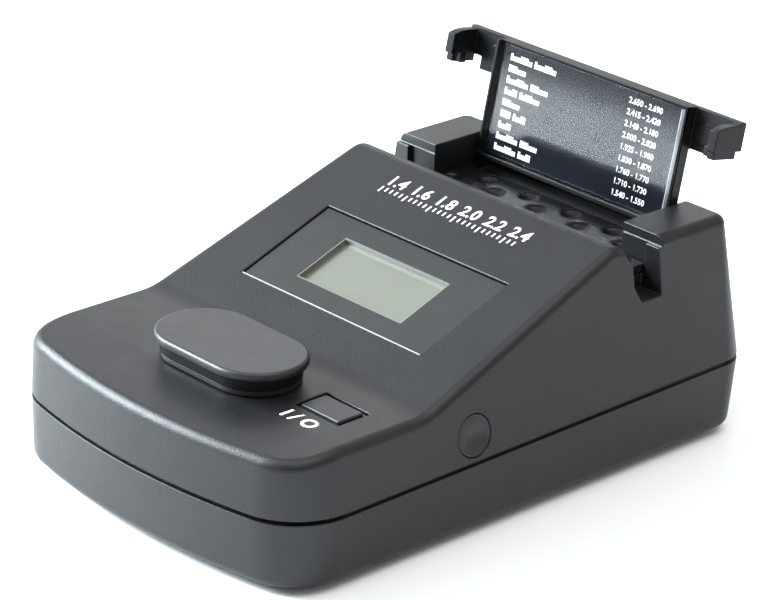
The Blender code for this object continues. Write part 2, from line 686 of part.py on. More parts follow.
def make_display():
    half = BEZEL_WIDTH / 2.0 - GAP
    top = -BEZEL_DEPTH
    bezel = slope_box("display_bezel", (-half, GAP, top - BEZEL_THICK),
                      (half, BEZEL_LENGTH - GAP, top), CASE_BLACK)
    half_window = WINDOW_WIDTH / 2.0
    cut_box(bezel, (-half_window, WINDOW_UP, top - 5.0 * MM),
            (half_window, WINDOW_UP + WINDOW_LENGTH, top + 5.0 * MM), place=SLOPE_PLACE)
    glass_top = top - BEZEL_THICK - 0.35 * MM
    glass_low = glass_top - 2.1 * MM
    slope_box("lcd_glass", (-26.6 * MM, 3.4 * MM, glass_low),
              (26.6 * MM, 25.6 * MM, glass_top), LCD_GREY)
    strip_low = -7.8 * MM
    holder = slope_box("lcd_holder", (-27.4 * MM, 1.6 * MM, strip_low),
                       (27.4 * MM, 27.4 * MM, glass_low - 0.25 * MM), CHIP_BLACK)
    cut_box(holder, (-25.0 * MM, 3.6 * MM, -12.0 * MM), (25.0 * MM, 25.4 * MM, 0.0),
            place=SLOPE_PLACE)
    for name, up in (("contact_strip_lower", 4.0 * MM), ("contact_strip_upper", 23.0 * MM)):
        slope_box(name, (-24.6 * MM, up, strip_low),
                  (24.6 * MM, up + 2.0 * MM, glass_low - 0.1 * MM), RUBBER_BLACK)
    board = slope_box("display_board", (-33.0 * MM, -2.0 * MM, -9.7 * MM),
                      (33.0 * MM, 31.0 * MM, -8.1 * MM), BOARD_GREEN)
    screw_spots = (DISPLAY_SPOTS[0], DISPLAY_SPOTS[3])
    for number, (x, up) in enumerate(screw_spots, start=1):
        place = SLOPE_PLACE @ Matrix.Translation((x, up, 0.0))
        cut_rod(board, 1.3 * MM, -12.0 * MM, -6.0 * MM, place, steps=12)
        cut_rod(bpy.data.objects["upper_case"], 1.05 * MM, -8.5 * MM, -3.4 * MM, place,
                steps=12)
        screw = part("display_screw_" + str(number),
                     rod_mesh("display_screw", 0.85 * MM, -11.0 * MM, -4.0 * MM, 12), STEEL,
                     place)
        cut_rod(screw, 1.9 * MM, -11.3 * MM, -10.0 * MM, place, "UNION", 16)


# ---- light shield, test platform and optics ----------------------------------------
HINGE_Y = SHIELD_HINGE_Y
HINGE_Z = SHIELD_HINGE_Z
KNUCKLE_RADIUS = 1.35 * MM
BASE_TOP = 35.0 * MM
BASE_SIZE = (19.3 * MM, 10.7 * MM)
BASE_PLUG = (17.5 * MM, 9.0 * MM)
BASE_PLUG_LOW = 29.5 * MM
BASE_LUG_X = 4.6 * MM
SHIELD_LUG_X = (5.0 * MM, 8.6 * MM)
SHIELD_INSET = 1.4 * MM         # the shield's body inside the rim of its top plate
SHIELD_WALL = 1.6 * MM
PLATFORM_SEAT_RADIUS = 7.3 * MM
PLATFORM_RADIUS = 7.0 * MM
OPTICS_BORE_RADIUS = 6.0 * MM


def stadium_block(name, half_x, half_y, low, high, finish=None):
    mesh = outline_mesh(name, stadium(half_x, half_y), low, high)
    place = at(0.0, SHIELD_Y, 0.0)
    if finish is None:
        return cutter(name, mesh, place)
    return part(name, mesh, finish, place)


def knuckle(target, low_x, high_x):
    """A round lug on the shield's hinge axis."""
    place = at(0.0, HINGE_Y, HINGE_Z) @ ALONG_X
    cut_rod(target, KNUCKLE_RADIUS, low_x, high_x, place, "UNION", 16)


def shield_pin_hole(target, low_x, high_x):
    place = at(0.0, HINGE_Y, HINGE_Z) @ ALONG_X
    cut_rod(target, 0.8 * MM, low_x, high_x, place, steps=12)


def make_shield_base():
    base = stadium_block("shield_base", *BASE_SIZE, DECK_Z + GAP, BASE_TOP, SHIELD_BLACK)
    boolean(base, stadium_block("base_plug", *BASE_PLUG, BASE_PLUG_LOW, DECK_Z + 0.5 * MM),
            "UNION")
    cut_box(base, (-BASE_LUG_X, y_at(SHIELD_Y) + 9.5 * MM, DECK_Z + GAP),
            (BASE_LUG_X, y_at(HINGE_Y) + KNUCKLE_RADIUS, BASE_TOP), "UNION")
    cut_box(base, (-BASE_LUG_X, y_at(HINGE_Y) - MM, BASE_TOP - 0.4 * MM),
            (BASE_LUG_X, y_at(HINGE_Y) + MM, HINGE_Z), "UNION")
    knuckle(base, -BASE_LUG_X, BASE_LUG_X)
    shield_pin_hole(base, -6.0 * MM, 6.0 * MM)
    centre = at(0.0, SHIELD_Y, 0.0)
    cut_rod(base, PLATFORM_SEAT_RADIUS, 33.3 * MM, ABOVE_DECK, centre, steps=32)
    cut_rod(base, OPTICS_BORE_RADIUS, 28.0 * MM, 34.0 * MM, centre, steps=28)
    return base


def make_light_shield():
    """Stadium cap with a hollow light chamber; its rear lugs turn on the hinge pin."""
    shield = stadium_block("light_shield", SHIELD_HALF_X, SHIELD_HALF_Y,
                           SHIELD_TOP - SHIELD_PLATE, SHIELD_TOP, SHIELD_BLACK)
    bevel(shield, 0.8 * MM, 3)
    boolean(shield, stadium_block("shield_body", SHIELD_HALF_X - SHIELD_INSET,
                                  SHIELD_HALF_Y - SHIELD_INSET, BASE_TOP + GAP,
                                  SHIELD_TOP - SHIELD_PLATE + 0.2 * MM), "UNION")
    inside = SHIELD_INSET + SHIELD_WALL
    boolean(shield, stadium_block("shield_chamber", SHIELD_HALF_X - inside,
                                  SHIELD_HALF_Y - inside, BASE_TOP - MM,
                                  SHIELD_TOP - 1.3 * MM))
    lug_in, lug_out = SHIELD_LUG_X
    cut_box(shield, (-lug_in, y_at(HINGE_Y) - 1.8 * MM, BASE_TOP - MM),
            (lug_in, y_at(HINGE_Y) + 3.0 * MM, HINGE_Z + 1.65 * MM))
    knuckle(shield, lug_in, lug_out)
    knuckle(shield, -lug_out, -lug_in)
    shield_pin_hole(shield, -10.0 * MM, 10.0 * MM)
    smooth(shield)
    # the shield turns about its hinge pin, so its origin lies on that axis
    shift = shield.matrix_world.inverted() @ Vector((0.0, y_at(HINGE_Y), HINGE_Z))
    shield.data.transform(Matrix.Translation(-shift))
    shield.matrix_world = at(0.0, HINGE_Y, HINGE_Z)
    return shield


def make_optics():
    centre = at(0.0, SHIELD_Y, 0.0)
    part("shield_hinge_pin", rod_mesh("shield_hinge_pin", 0.6 * MM, -8.2 * MM, 8.2 * MM, 12),
         STEEL, at(0.0, HINGE_Y, HINGE_Z) @ ALONG_X)
    platform = part("test_platform", rod_mesh("test_platform", PLATFORM_RADIUS, 33.6 * MM,
                                              35.4 * MM, 32), STEEL, centre)
    cut_rod(platform, 1.0 * MM, 30.0 * MM, 40.0 * MM, centre, steps=16)
    smooth(platform)
    part("aperture_glass", rod_mesh("aperture_glass", 3.0 * MM, 31.8 * MM, 33.1 * MM, 20),
         GLASS, centre)
    block = part("optical_block", rod_mesh("optical_block", 5.6 * MM, 28.0 * MM, 33.2 * MM,
                                           24), CHIP_BLACK, centre)
    cut_box(block, (-10.0 * MM, y_at(21.5 * MM), 16.0 * MM),
            (10.0 * MM, y_at(38.5 * MM), 29.2 * MM), "UNION")
    cut_rod(block, 3.3 * MM, 31.5 * MM, 40.0 * MM, centre, steps=20)
    sources = (("infrared_emitter", -1), ("light_sensor", 1))
    for name, side in sources:
        ray = at(0.0, SHIELD_Y, 31.6 * MM) @ Matrix.Rotation(side * radians(-28.0), 4, "Y")
        cut_rod(block, 1.9 * MM, -22.0 * MM, 0.6 * MM, ray, steps=16)
        body = part(name, rod_mesh(name, 1.55 * MM, -15.5 * MM, -9.5 * MM, 16,
                                   tip_radius=1.1 * MM), GLASS, ray)
        smooth(body)
    part("sensor_board", box_mesh("sensor_board", (-13.0 * MM, y_at(20.0 * MM), 13.9 * MM),
                                  (13.0 * MM, y_at(40.0 * MM), 15.5 * MM)), BOARD_GREEN)
    part("board_link", box_mesh("board_link", (-6.0 * MM, y_at(27.5 * MM), 10.2 * MM),
                                (6.0 * MM, y_at(32.5 * MM), 13.6 * MM)), CHIP_BLACK)


# ---- power button ------------------------------------------------------------------
def make_button():
    spot = at(BUTTON_X, BUTTON_Y, 0.0)
    half_x = BUTTON_WIDTH / 2.0
    half_y = BUTTON_LENGTH / 2.0
    rim = 0.9 * MM
    button = part("power_button", box_mesh("power_button", (-half_x, -half_y, 30.4 * MM),
                                           (half_x, half_y, BUTTON_TOP)), BUTTON_GREY, spot)
    cut_box(button, (-half_x - rim, -half_y - rim, 30.1 * MM),
            (half_x + rim, half_y + rim, 31.3 * MM), "UNION", spot)
    cut_rod(button, 1.9 * MM, 14.9 * MM, 30.5 * MM, spot, "UNION", 16)
    switch = part("tact_switch", box_mesh("tact_switch", (-3.0 * MM, -3.0 * MM, 10.1 * MM),
                                          (3.0 * MM, 3.0 * MM, 13.6 * MM)), CHIP_BLACK, spot)
    cut_rod(switch, 2.0 * MM, 10.8 * MM, 15.0 * MM, spot, steps=16)
    plunger = part("switch_plunger", rod_mesh("switch_plunger", 1.7 * MM, 11.7 * MM,
                                              14.6 * MM, 16), BUTTON_GREY, spot)
    smooth(plunger)


# ---- gem tray ----------------------------------------------------------------------
TRAY_REAR = 135.4 * MM
DIMPLE_RADIUS = 3.1 * MM
DIMPLE_PITCH = 14.3 * MM
DIMPLE_ROWS = ((132.0 * MM, 4), (126.9 * MM, 5), (121.8 * MM, 4), (116.7 * MM, 5))


def make_gem_tray():
    """Tee-shaped tray with staggered round dimples that keep loose stones apart."""
    low = TRAY_Z - TRAY_THICK
    tray = part("gem_tray", box_mesh("gem_tray", (-POCKET_INNER + GAP, y_at(CREST_BACK + GAP),
                                                  low),
                                     (POCKET_INNER - GAP, y_at(TOWER_FRONT - GAP), TRAY_Z)),
                CASE_BLACK)
    cut_box(tray, (-TOWER_INNER + GAP, y_at(TOWER_FRONT - MM), low),
            (TOWER_INNER - GAP, y_at(TRAY_REAR), TRAY_Z), "UNION")
    ball_radius = 4.2 * MM
    centre_z = TRAY_Z + sqrt(ball_radius ** 2 - DIMPLE_RADIUS ** 2)
    for row, (distance, count) in enumerate(DIMPLE_ROWS):
        for column in range(count):
            x = (column - (count - 1) / 2.0) * DIMPLE_PITCH
            name = "dimple_" + str(row) + "_" + str(column)
            builder = bmesh.new()
            bmesh.ops.create_uvsphere(builder, u_segments=12, v_segments=10,
                                      radius=ball_radius)
            tool = cutter(name, mesh_from(builder, name), at(x, distance, centre_z))
            boolean(tray, tool)
    return tray


# ---- chart lid ---------------------------------------------------------------------
WINDOW_THICK = 1.3 * MM
WINDOW_BACK = WINDOW_THICK - LID_AXIS_DEPTH
WINDOW_LOW = -0.6 * MM          # lower and upper edge of the clear sheet
WINDOW_HIGH = 27.2 * MM
PANEL_FRONT = WINDOW_BACK + 0.7 * MM
PANEL_BACK = LID_THICK - LID_AXIS_DEPTH - 0.5 * MM
HOOK_LOW = 18.8 * MM
HOOK_HIGH = 27.0 * MM           # clear of the notch when the lid is shut
HOOK_BODY_LOW = 20.7 * MM       # the hook's body; a narrower tooth goes on down
HOOK_TIP = PANEL_BACK - HOOK_REACH
HOOK_SLOPE_LENGTH = 4.6 * MM
HOOK_SLOPE_DROP = 1.2 * MM
TOOTH_INSET = 0.35 * MM
CATCH_WIDTH = 1.9 * MM          # small catch on the inner face of each tooth
BAR_MIDDLE_X = 40.0 * MM
BOSS_X = 35.2 * MM
BOSS_UP = 22.0 * MM
BOSS_RADIUS = 2.7 * MM
LID_WALL = 0.9 * MM
OVERLAP = 0.3 * MM              # pieces of one moulding run into each other


def lid_box(target, low, high):
    cut_box(target, low, high, "UNION", LID_PLACE)


def make_chart_lid():
    """Panel, cross bar and two hooks, moulded in one piece."""
    lid = part("chart_lid", box_mesh("chart_lid", (-LID_HALF_X, PANEL_FRONT, LID_LOW),
                                     (LID_HALF_X, PANEL_BACK, BAR_HIGH)), LID_BLACK, LID_PLACE)
    bar_back = PANEL_BACK + BAR_THICK
    lid_box(lid, (-BAR_MIDDLE_X, PANEL_BACK - 0.1 * MM, BAR_LOW),
            (BAR_MIDDLE_X, bar_back, BAR_HIGH))
    lid_box(lid, (-LID_HALF_X, -LID_AXIS_DEPTH - 0.4 * MM, LID_LOW + 0.4 * MM),
            (LID_HALF_X, PANEL_FRONT + 0.1 * MM, WINDOW_LOW - 0.3 * MM))
    lid_box(lid, (-LID_HALF_X, -LID_AXIS_DEPTH, WINDOW_LOW - 0.4 * MM),
            (-LID_HALF_X + LID_WALL, PANEL_FRONT + 0.1 * MM, BAR_HIGH))
    lid_box(lid, (-LID_HALF_X + 0.5 * MM, WINDOW_BACK, WINDOW_HIGH + 0.15 * MM),
            (LID_HALF_X, PANEL_FRONT + 0.1 * MM, BAR_HIGH))
    for side in (-1, 1):
        ends = sorted((side * (BAR_MIDDLE_X - MM), side * BAR_HALF_X))
        lid_box(lid, (ends[0], PANEL_BACK - 0.1 * MM, HOOK_BODY_LOW),
                (ends[1], bar_back, BAR_HIGH))
        ends = sorted((side * (BAR_HALF_X - HOOK_THICK), side * BAR_HALF_X))
        profile = [(PANEL_BACK + OVERLAP, HOOK_BODY_LOW), (PANEL_BACK + OVERLAP, HOOK_HIGH),
                   (HOOK_TIP + HOOK_SLOPE_LENGTH, HOOK_HIGH),
                   (HOOK_TIP, HOOK_HIGH - HOOK_SLOPE_DROP), (HOOK_TIP, HOOK_BODY_LOW)]
        name = "hook_right" if side == 1 else "hook_left"
        mesh = outline_mesh(name, profile, ends[0], ends[1])
        boolean(lid, cutter(name, mesh, LID_PLACE @ PROFILE), "UNION")
        ends = sorted((side * (BAR_HALF_X - HOOK_THICK), side * (BAR_HALF_X - TOOTH_INSET)))
        lid_box(lid, (ends[0], HOOK_TIP + 0.6 * MM, HOOK_LOW),
                (ends[1], bar_back - 1.5 * MM, HOOK_BODY_LOW + 0.2 * MM))
        ends = sorted((side * (BAR_HALF_X - HOOK_THICK - CATCH_WIDTH),
                       side * (BAR_HALF_X - HOOK_THICK + 0.2 * MM)))
        lid_box(lid, (ends[0], HOOK_TIP + 1.4 * MM, HOOK_LOW + 0.15 * MM),
                (ends[1], HOOK_TIP + 3.6 * MM, HOOK_LOW + 2.6 * MM))
        boss = LID_PLACE @ Matrix.Translation((side * BOSS_X, PANEL_BACK, BOSS_UP))
        cut_rod(lid, BOSS_RADIUS, -0.35 * MM, 0.5 * MM, boss @ ALONG_Y, "UNION", 24)
        hole = sorted((side * 29.0 * MM, side * 34.0 * MM))
        cut_rod(lid, PIN_SEAT_RADIUS, hole[0], hole[1], LID_PLACE @ ALONG_X, steps=16)
        pin_name = "lid_pin_right" if side == 1 else "lid_pin_left"
        ends = sorted((side * 29.3 * MM, side * 33.5 * MM))
        part(pin_name, rod_mesh(pin_name, 0.8 * MM, ends[0], ends[1], 12), STEEL,
             at(0.0, LID_HINGE_Y, LID_HINGE_Z) @ ALONG_X)
    card_half = LID_HALF_X - 1.3 * MM
    part("chart_card", box_mesh("chart_card",
                                (-card_half, WINDOW_BACK + 0.1 * MM, WINDOW_LOW + 0.1 * MM),
                                (card_half, PANEL_FRONT - 0.1 * MM, WINDOW_HIGH - 0.2 * MM)),
         CARD_BLACK, LID_PLACE)
    part("chart_window", box_mesh("chart_window",
                                  (1.0 * MM - LID_HALF_X, -LID_AXIS_DEPTH, WINDOW_LOW),
                                  (card_half + 0.8 * MM, WINDOW_BACK, WINDOW_HIGH)),
         CLEAR_SHEET, LID_PLACE)
    return lid


# ---- side plug ---------------------------------------------------------------------
def make_side_plug():
    plug = part("side_plug", rod_mesh("side_plug", PLUG_RADIUS, -2.4 * MM, -PLUG_SINK, 32),
                BUTTON_GREY, PLUG_PLACE)
    cut_rod(plug, PLUG_RADIUS + 1.1 * MM, -3.3 * MM, -2.35 * MM, PLUG_PLACE, "UNION", 32)
    smooth(plug)
    return plug


# ---- main board --------------------------------------------------------------------
def board_box(name, low, high, finish):
    """A piece standing on the main board: X, distance and height above the board."""
    base = BOARD_Z + BOARD_THICK + GAP
    return part(name, box_mesh(name, (low[0] * MM, y_at(low[1] * MM), base),
                               (high[0] * MM, y_at(high[1] * MM), base + high[2] * MM)), finish)


def make_main_board():
    low = (-32.5 * MM, y_at(13.0 * MM), BOARD_Z)
    high = (32.5 * MM, y_at(79.0 * MM), BOARD_Z + BOARD_THICK)
    board = part("main_board", box_mesh("main_board", low, high), BOARD_GREEN)
    # a tab under the power button carries its switch
    cut_box(board, (31.0 * MM, y_at(27.5 * MM), BOARD_Z),
            (36.0 * MM, y_at(40.0 * MM), BOARD_Z + BOARD_THICK), "UNION")
    for number, (x, distance) in enumerate(BOARD_SPOTS, start=1):
        place = at(x, distance, 0.0)
        cut_rod(board, 1.3 * MM, 0.0, 20.0 * MM, place, steps=12)
        screw = part("board_screw_" + str(number),
                     rod_mesh("board_screw", 0.85 * MM, 4.3 * MM, 10.4 * MM, 12), STEEL, place)
        cut_rod(screw, 2.0 * MM, 10.2 * MM, 11.4 * MM, place, "UNION", 16)
    board_box("microcontroller", (-8.0, 50.0), (8.0, 66.0, 1.5), CHIP_BLACK)
    board_box("voltage_regulator", (-27.0, 48.0), (-20.0, 55.0, 2.4), CHIP_BLACK)
    board_box("crystal", (12.0, 54.0), (16.5, 65.0, 3.4), NICKEL)
    capacitor = part("capacitor", rod_mesh("capacitor", 2.5 * MM, 10.2 * MM, 16.2 * MM, 16),
                     CELL_SLEEVE, at(-24.0 * MM, 63.0 * MM, 0.0))
    smooth(capacitor)
    make_ribbon()


def make_ribbon():
    """Flat ribbon from the display board down to the main board, bent in one S."""
    half = 0.2 * MM
    top_y, top_z_end = 60.0 * MM, 28.2 * MM
    low_y, low_z = 70.0 * MM, BOARD_Z + BOARD_THICK + GAP
    front, back = [], []
    steps = 12
    for step in range(steps + 1):
        share = step / steps
        distance = top_y + (low_y - top_y) * (1.0 - cos(pi * share)) / 2.0
        height = top_z_end + (low_z - top_z_end) * share
        run = (low_y - top_y) * pi / 2.0 * sin(pi * share)
        drop = low_z - top_z_end
        size = hypot(run, drop)
        offset_y, offset_z = -drop / size * half, run / size * half
        front.append((y_at(distance) - offset_y, height - offset_z))
        back.append((y_at(distance) + offset_y, height + offset_z))
    mesh = outline_mesh("ribbon_cable", front + back[::-1], -6.0 * MM, 6.0 * MM)
    part("ribbon_cable", mesh, RIBBON_GREY, PROFILE)


# ---- batteries ---------------------------------------------------------------------
def coil_points(turns, radius, length, per_turn=8):
    """A helix along X whose radius narrows towards its far end."""
    points = []
    count = int(turns * per_turn)
    for step in range(count + 1):
        share = step / count
        angle = 2.0 * pi * turns * share
        r = radius * (1.0 - 0.45 * share)
        points.append((length * share, r * cos(angle), r * sin(angle)))
    return points


def make_spring(name, place):
    curve = bpy.data.curves.new(name, "CURVE")
    curve.dimensions = "3D"
    curve.bevel_depth = 0.25 * MM
    curve.bevel_resolution = 1
    curve.use_fill_caps = True
    points = coil_points(3.0, 3.4 * MM, 3.6 * MM)
    line = curve.splines.new("POLY")
    line.points.add(len(points) - 1)
    for knot, point in zip(line.points, points):
        knot.co = (*point, 1.0)
    curve.materials.append(STEEL)
    spring = bpy.data.objects.new(name, curve)
    PARTS.objects.link(spring)
    spring.matrix_world = place
    return spring


def make_batteries():
    plate_x = BAY_HALF_X - 0.3 * MM
    for name, side in (("contact_plate_left", -1), ("contact_plate_right", 1)):
        ends = sorted((side * plate_x, side * (plate_x - 0.4 * MM)))
        part(name, box_mesh(name, (ends[0], y_at(BAY_FRONT + 0.5 * MM), 4.4 * MM),
                            (ends[1], y_at(BAY_REAR - 0.5 * MM), 14.6 * MM)), NICKEL)
    for number in range(4):
        side = 1 if number % 2 == 0 else -1
        place = at(0.0, CELL_FIRST_Y + number * CELL_PITCH, CELL_Z)
        if side == -1:
            place = place @ Matrix.Rotation(pi, 4, "Z")
        name = "battery_" + str(number + 1)
        shift = 2.7 * MM
        low = shift - CELL_LENGTH / 2.0
        high = shift + CELL_LENGTH / 2.0 - 0.9 * MM
        cell = part(name, rod_mesh(name, CELL_RADIUS, low, high, 20), CELL_SLEEVE,
                    place @ ALONG_X)
        cut_rod(cell, 1.9 * MM, high - 0.2 * MM, high + 0.9 * MM, place @ ALONG_X, "UNION", 16)
        smooth(cell)
        spring_end = Matrix.Translation((-plate_x + 0.4 * MM + 0.3 * MM + 0.25 * MM, 0.0, 0.0))
        make_spring("battery_spring_" + str(number + 1), place @ spring_end)


# ---- screws and feet -----------------------------------------------------------------
def make_screws_and_feet():
    for number, (x, distance) in enumerate(POST_SPOTS, start=1):
        place = at(x, distance, 0.0)
        top = parting_z(distance) + 8.5 * MM
        screw = part("case_screw_" + str(number),
                     rod_mesh("case_screw", 1.15 * MM, HEAD_SEAT_Z - MM, top, 12), STEEL, place)
        cut_rod(screw, 2.6 * MM, HEAD_SEAT_Z - 2.3 * MM, HEAD_SEAT_Z - 0.2 * MM, place,
                "UNION", 20)
        for turn in (0, 1):
            arms = (1.6 * MM, 0.35 * MM) if turn == 0 else (0.35 * MM, 1.6 * MM)
            cut_box(screw, (-arms[0], -arms[1], 0.0),
                    (arms[0], arms[1], HEAD_SEAT_Z - 1.2 * MM), place=place)
    for number, (x, distance) in enumerate(FOOT_SPOTS, start=1):
        top = FLOOR_Z + 0.4 * MM
        foot = part("foot_" + str(number),
                    rod_mesh("foot", 4.3 * MM, 0.0, top, 24), RUBBER_BLACK,
                    at(x, distance, 0.0))
        bevel(foot, 0.4 * MM, 2)
        smooth(foot)


make_upper_case()
make_lower_case()
make_battery_door()
make_display()
make_shield_base()
make_light_shield()
make_optics()
make_button()
make_gem_tray()
make_chart_lid()
make_side_plug()
make_main_board()
make_batteries()
make_screws_and_feet()
bpy.context.view_layer.update()
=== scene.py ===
"""Looks of the desktop gem refractive index meter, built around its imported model.

Shapes are given in millimetres as (x, d, z): x to the right, d back from the front of
the case, z up from the table.  spot() turns such a place into the frame's metres.
"""
import json
import bpy
import bmesh
from math import atan, atan2, cos, pi, radians, sin, sqrt, tan
from mathutils import Matrix, Vector


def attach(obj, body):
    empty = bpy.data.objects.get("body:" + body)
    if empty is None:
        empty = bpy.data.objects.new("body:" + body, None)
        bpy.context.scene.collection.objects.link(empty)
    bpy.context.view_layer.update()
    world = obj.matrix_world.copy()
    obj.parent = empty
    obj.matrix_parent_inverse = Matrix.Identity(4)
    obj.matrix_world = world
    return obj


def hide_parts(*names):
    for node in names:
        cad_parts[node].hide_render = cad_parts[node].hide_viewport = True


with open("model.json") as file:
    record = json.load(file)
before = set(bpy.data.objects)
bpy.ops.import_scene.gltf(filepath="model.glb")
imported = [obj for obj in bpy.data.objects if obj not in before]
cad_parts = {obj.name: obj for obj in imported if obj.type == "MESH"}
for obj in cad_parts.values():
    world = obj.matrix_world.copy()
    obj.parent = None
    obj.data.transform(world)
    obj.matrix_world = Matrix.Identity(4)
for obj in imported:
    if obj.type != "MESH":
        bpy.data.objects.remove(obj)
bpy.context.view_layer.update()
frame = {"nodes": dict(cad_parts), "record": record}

MM = 0.001

# ---- dimensions shared with the CAD model, in millimetres ----
CASE_LENGTH = 152.6
HALF_WIDTH = 50.1
WALL = 2.0
GAP = 0.3
PARTING_FRONT = 18.3
PARTING_RISE = 1.7
FLOOR_Z = 1.6
FRONT_SAGITTA = 7.0
FRONT_CORNER = 17.0
REAR_CORNER = 8.8
SIDE_DRAFT = 0.163
FRONT_DRAFT = 0.10
REAR_DRAFT = 0.17
LOWER_DRAFT = 0.07
CORNER_LESS = 0.6               # share of that draft which the front corners lack
CORNER_UPRIGHT = 0.10
TOP_ROUND = 2.6
BOTTOM_ROUND = 2.6
DECK_Z = 33.6
LIP_Z = 32.1
LIP_BREAK = 20.5
SLOPE_START = 45.6
SLOPE = radians(20.4)
BLEND_RADIUS = 18.0
CREST_ROUND = 4.5
CREST_BACK = 112.6
CREST_BREAK = 0.2               # the crest ends this far before the tower's step
TOWER_Z = 55.7
TOWER_FRONT = 123.5
TOWER_INNER = 31.8
TRAY_Z = 47.8
TRAY_THICK = 2.0
TRAY_REAR = 135.4
REAR_WALL_FRONT = 145.7
REAR_WALL_Z = 50.0
NOTCH_Z = 42.0
NOTCH_FRONT = 113.4
NOTCH_REAR = 122.25
NOTCH_SLANT_UP = 4.0            # the notch floor's front corner is cut away
NOTCH_SLANT_BACK = 2.2
POCKET_INNER = 40.2
BAR_SEAT_Z = 53.2
BEZEL_FRONT = 59.5
BEZEL_LENGTH = 29.2
BEZEL_WIDTH = 61.4
BEZEL_DEPTH = 0.45
BEZEL_THICK = 1.0
WINDOW_WIDTH = 35.6
WINDOW_LENGTH = 16.4
WINDOW_UP = 6.2
SHIELD_HALF_X = 20.6
SHIELD_HALF_Y = 12.0
SHIELD_D = 30.0
SHIELD_TOP = 40.0
SHIELD_PLATE = 1.9
SHIELD_HINGE_D = 41.1
SHIELD_HINGE_Z = 36.5
BASE_TOP = 35.0
BUTTON_X = 31.25
BUTTON_D = 32.6
BUTTON_WIDTH = 12.4
BUTTON_LENGTH = 7.6
BUTTON_TOP = 33.8
BUTTON_MOAT = 0.7
BUTTON_MOAT_Z = 32.4
PLUG_D = 59.7
PLUG_Z = 25.5
PLUG_RADIUS = 4.8
PLUG_SNUG = 0.18                # the moulded plug is pressed almost into contact
LID_HINGE_D = 140.7
LID_HINGE_Z = 51.7
LID_LEAN = radians(11.0)
LID_HALF_X = 31.2
LID_AXIS_DEPTH = 3.4
LID_LOW = -2.5
BAR_LOW = 17.5
BAR_HIGH = 27.75
BAR_BACK = 3.6
BAR_HALF_X = 45.2
PANEL_BACK = 1.7
PANEL_FRONT = -1.4
WINDOW_BACK = -2.1
SHEET_LOW = -0.6
SHEET_HIGH = 27.2
HOOK_TIP = -6.4
HOOK_LOW = 18.8
HOOK_HIGH = 27.0
HOOK_BODY_LOW = 20.7
HOOK_THICK = 2.5
BAY_HALF_X = 27.0
BAY_FRONT = 86.0
BAY_REAR = 132.0
DOOR_FRONT = 84.0
DOOR_SPLIT_Z = 2.7
DOOR_TOP_Z = 3.5
DOOR_LIP = 1.5
BAY_WALL = 4.0
BAY_ROOF_Z = 16.8
BAY_TOP_Z = 15.2
HEAD_SEAT_Z = 8.0
PIN_BORE = 1.1
PIN_HOLE_X = 33.0
PIN_HOLE_REACH = 1.8
BOARD_POSTS = [(x, d) for x in (-27.0, 27.0) for d in (17.0, 75.0)]
BOARD_POST_RADIUS = 2.6
BOARD_POST_BORE = 1.05
POSTS = [(side * x, d) for x, d in ((41.0, 25.0), (38.0, 129.0)) for side in (-1, 1)]
FEET = [(side * x, d) for x, d in ((36.0, 16.0), (38.0, 139.0)) for side in (-1, 1)]

# ---- fineness of the visible surfaces ----
JOINT_GAP = 0.95                # visible groove between the two cases
HALF_GAP = JOINT_GAP / 2.0
LIP_DEPTH = 1.0                 # how far in the tongue stands behind that groove
LIP_PLAY = 0.15                 # the upper case's wall stands this much proud of it
EDGE_OUT = 0.25                 # the groove's edges are rounded over this much,
EDGE_UP = 0.07                  # by way of a point this close to the corner
CORNER_STEPS = 14
BOW_STEPS = 14
ROUND_STEPS = 7
BLEND_STEPS = 8
SLOPE_STEPS = 6
CREST_STEPS = 10
CREST_TURN = radians(72.0)
STADIUM_STEPS = 28
FAR = 90.0                      # cutters run well past the case
WELD = 0.000001                 # metres: points closer than this are one
WELD_CUTS = 0.000004            # the same after Booleans
LEVEL = 0.0000005               # metres: closer than this is in line
FLAT_TURN = radians(0.2)        # facets closer to flat than this are merged
SEAM_TURN = radians(14.0)       # where a cut meets the form, sharper corners are rounded
SHARP_TURN = radians(32.0)      # everywhere else
OUTER, CUT, INNER = 0, 1, 2     # what a face came from: form, visible cut, hidden inside


# ---- places ----
def spot(x, d, z):
    return Vector((x * MM, (d - CASE_LENGTH / 2.0) * MM, z * MM))


def at(x, d, z):
    return Matrix.Translation(spot(x, d, z))


def slope_z(d):
    return DECK_Z + (d - SLOPE_START) * tan(SLOPE)


CASE = at(0.0, 0.0, 0.0)
SLOPE_PLACE = at(0.0, BEZEL_FRONT, slope_z(BEZEL_FRONT)) @ Matrix.Rotation(SLOPE, 4, "X")
LID_PLACE = at(0.0, LID_HINGE_D, LID_HINGE_Z) @ Matrix.Rotation(-LID_LEAN, 4, "X")
ALONG_X = Matrix.Rotation(pi / 2.0, 4, "Y")
ALONG_Y = Matrix.Rotation(-pi / 2.0, 4, "X")
PROFILE = Matrix(((0, 0, 1, 0), (1, 0, 0, 0), (0, 1, 0, 0), (0, 0, 0, 1)))


# ---- camera, light and floor ----
VIEW_AZIMUTH = radians(46.006)
VIEW_ELEVATION = radians(23.290)
VIEW_ROLL = radians(2.252)
VIEW_DISTANCE = 0.7956
VIEW_AIM = Vector((-0.00023, 0.00256, 0.03662))
SENSOR = 36.0
LENS = 157.05
CLIP_START = 0.02

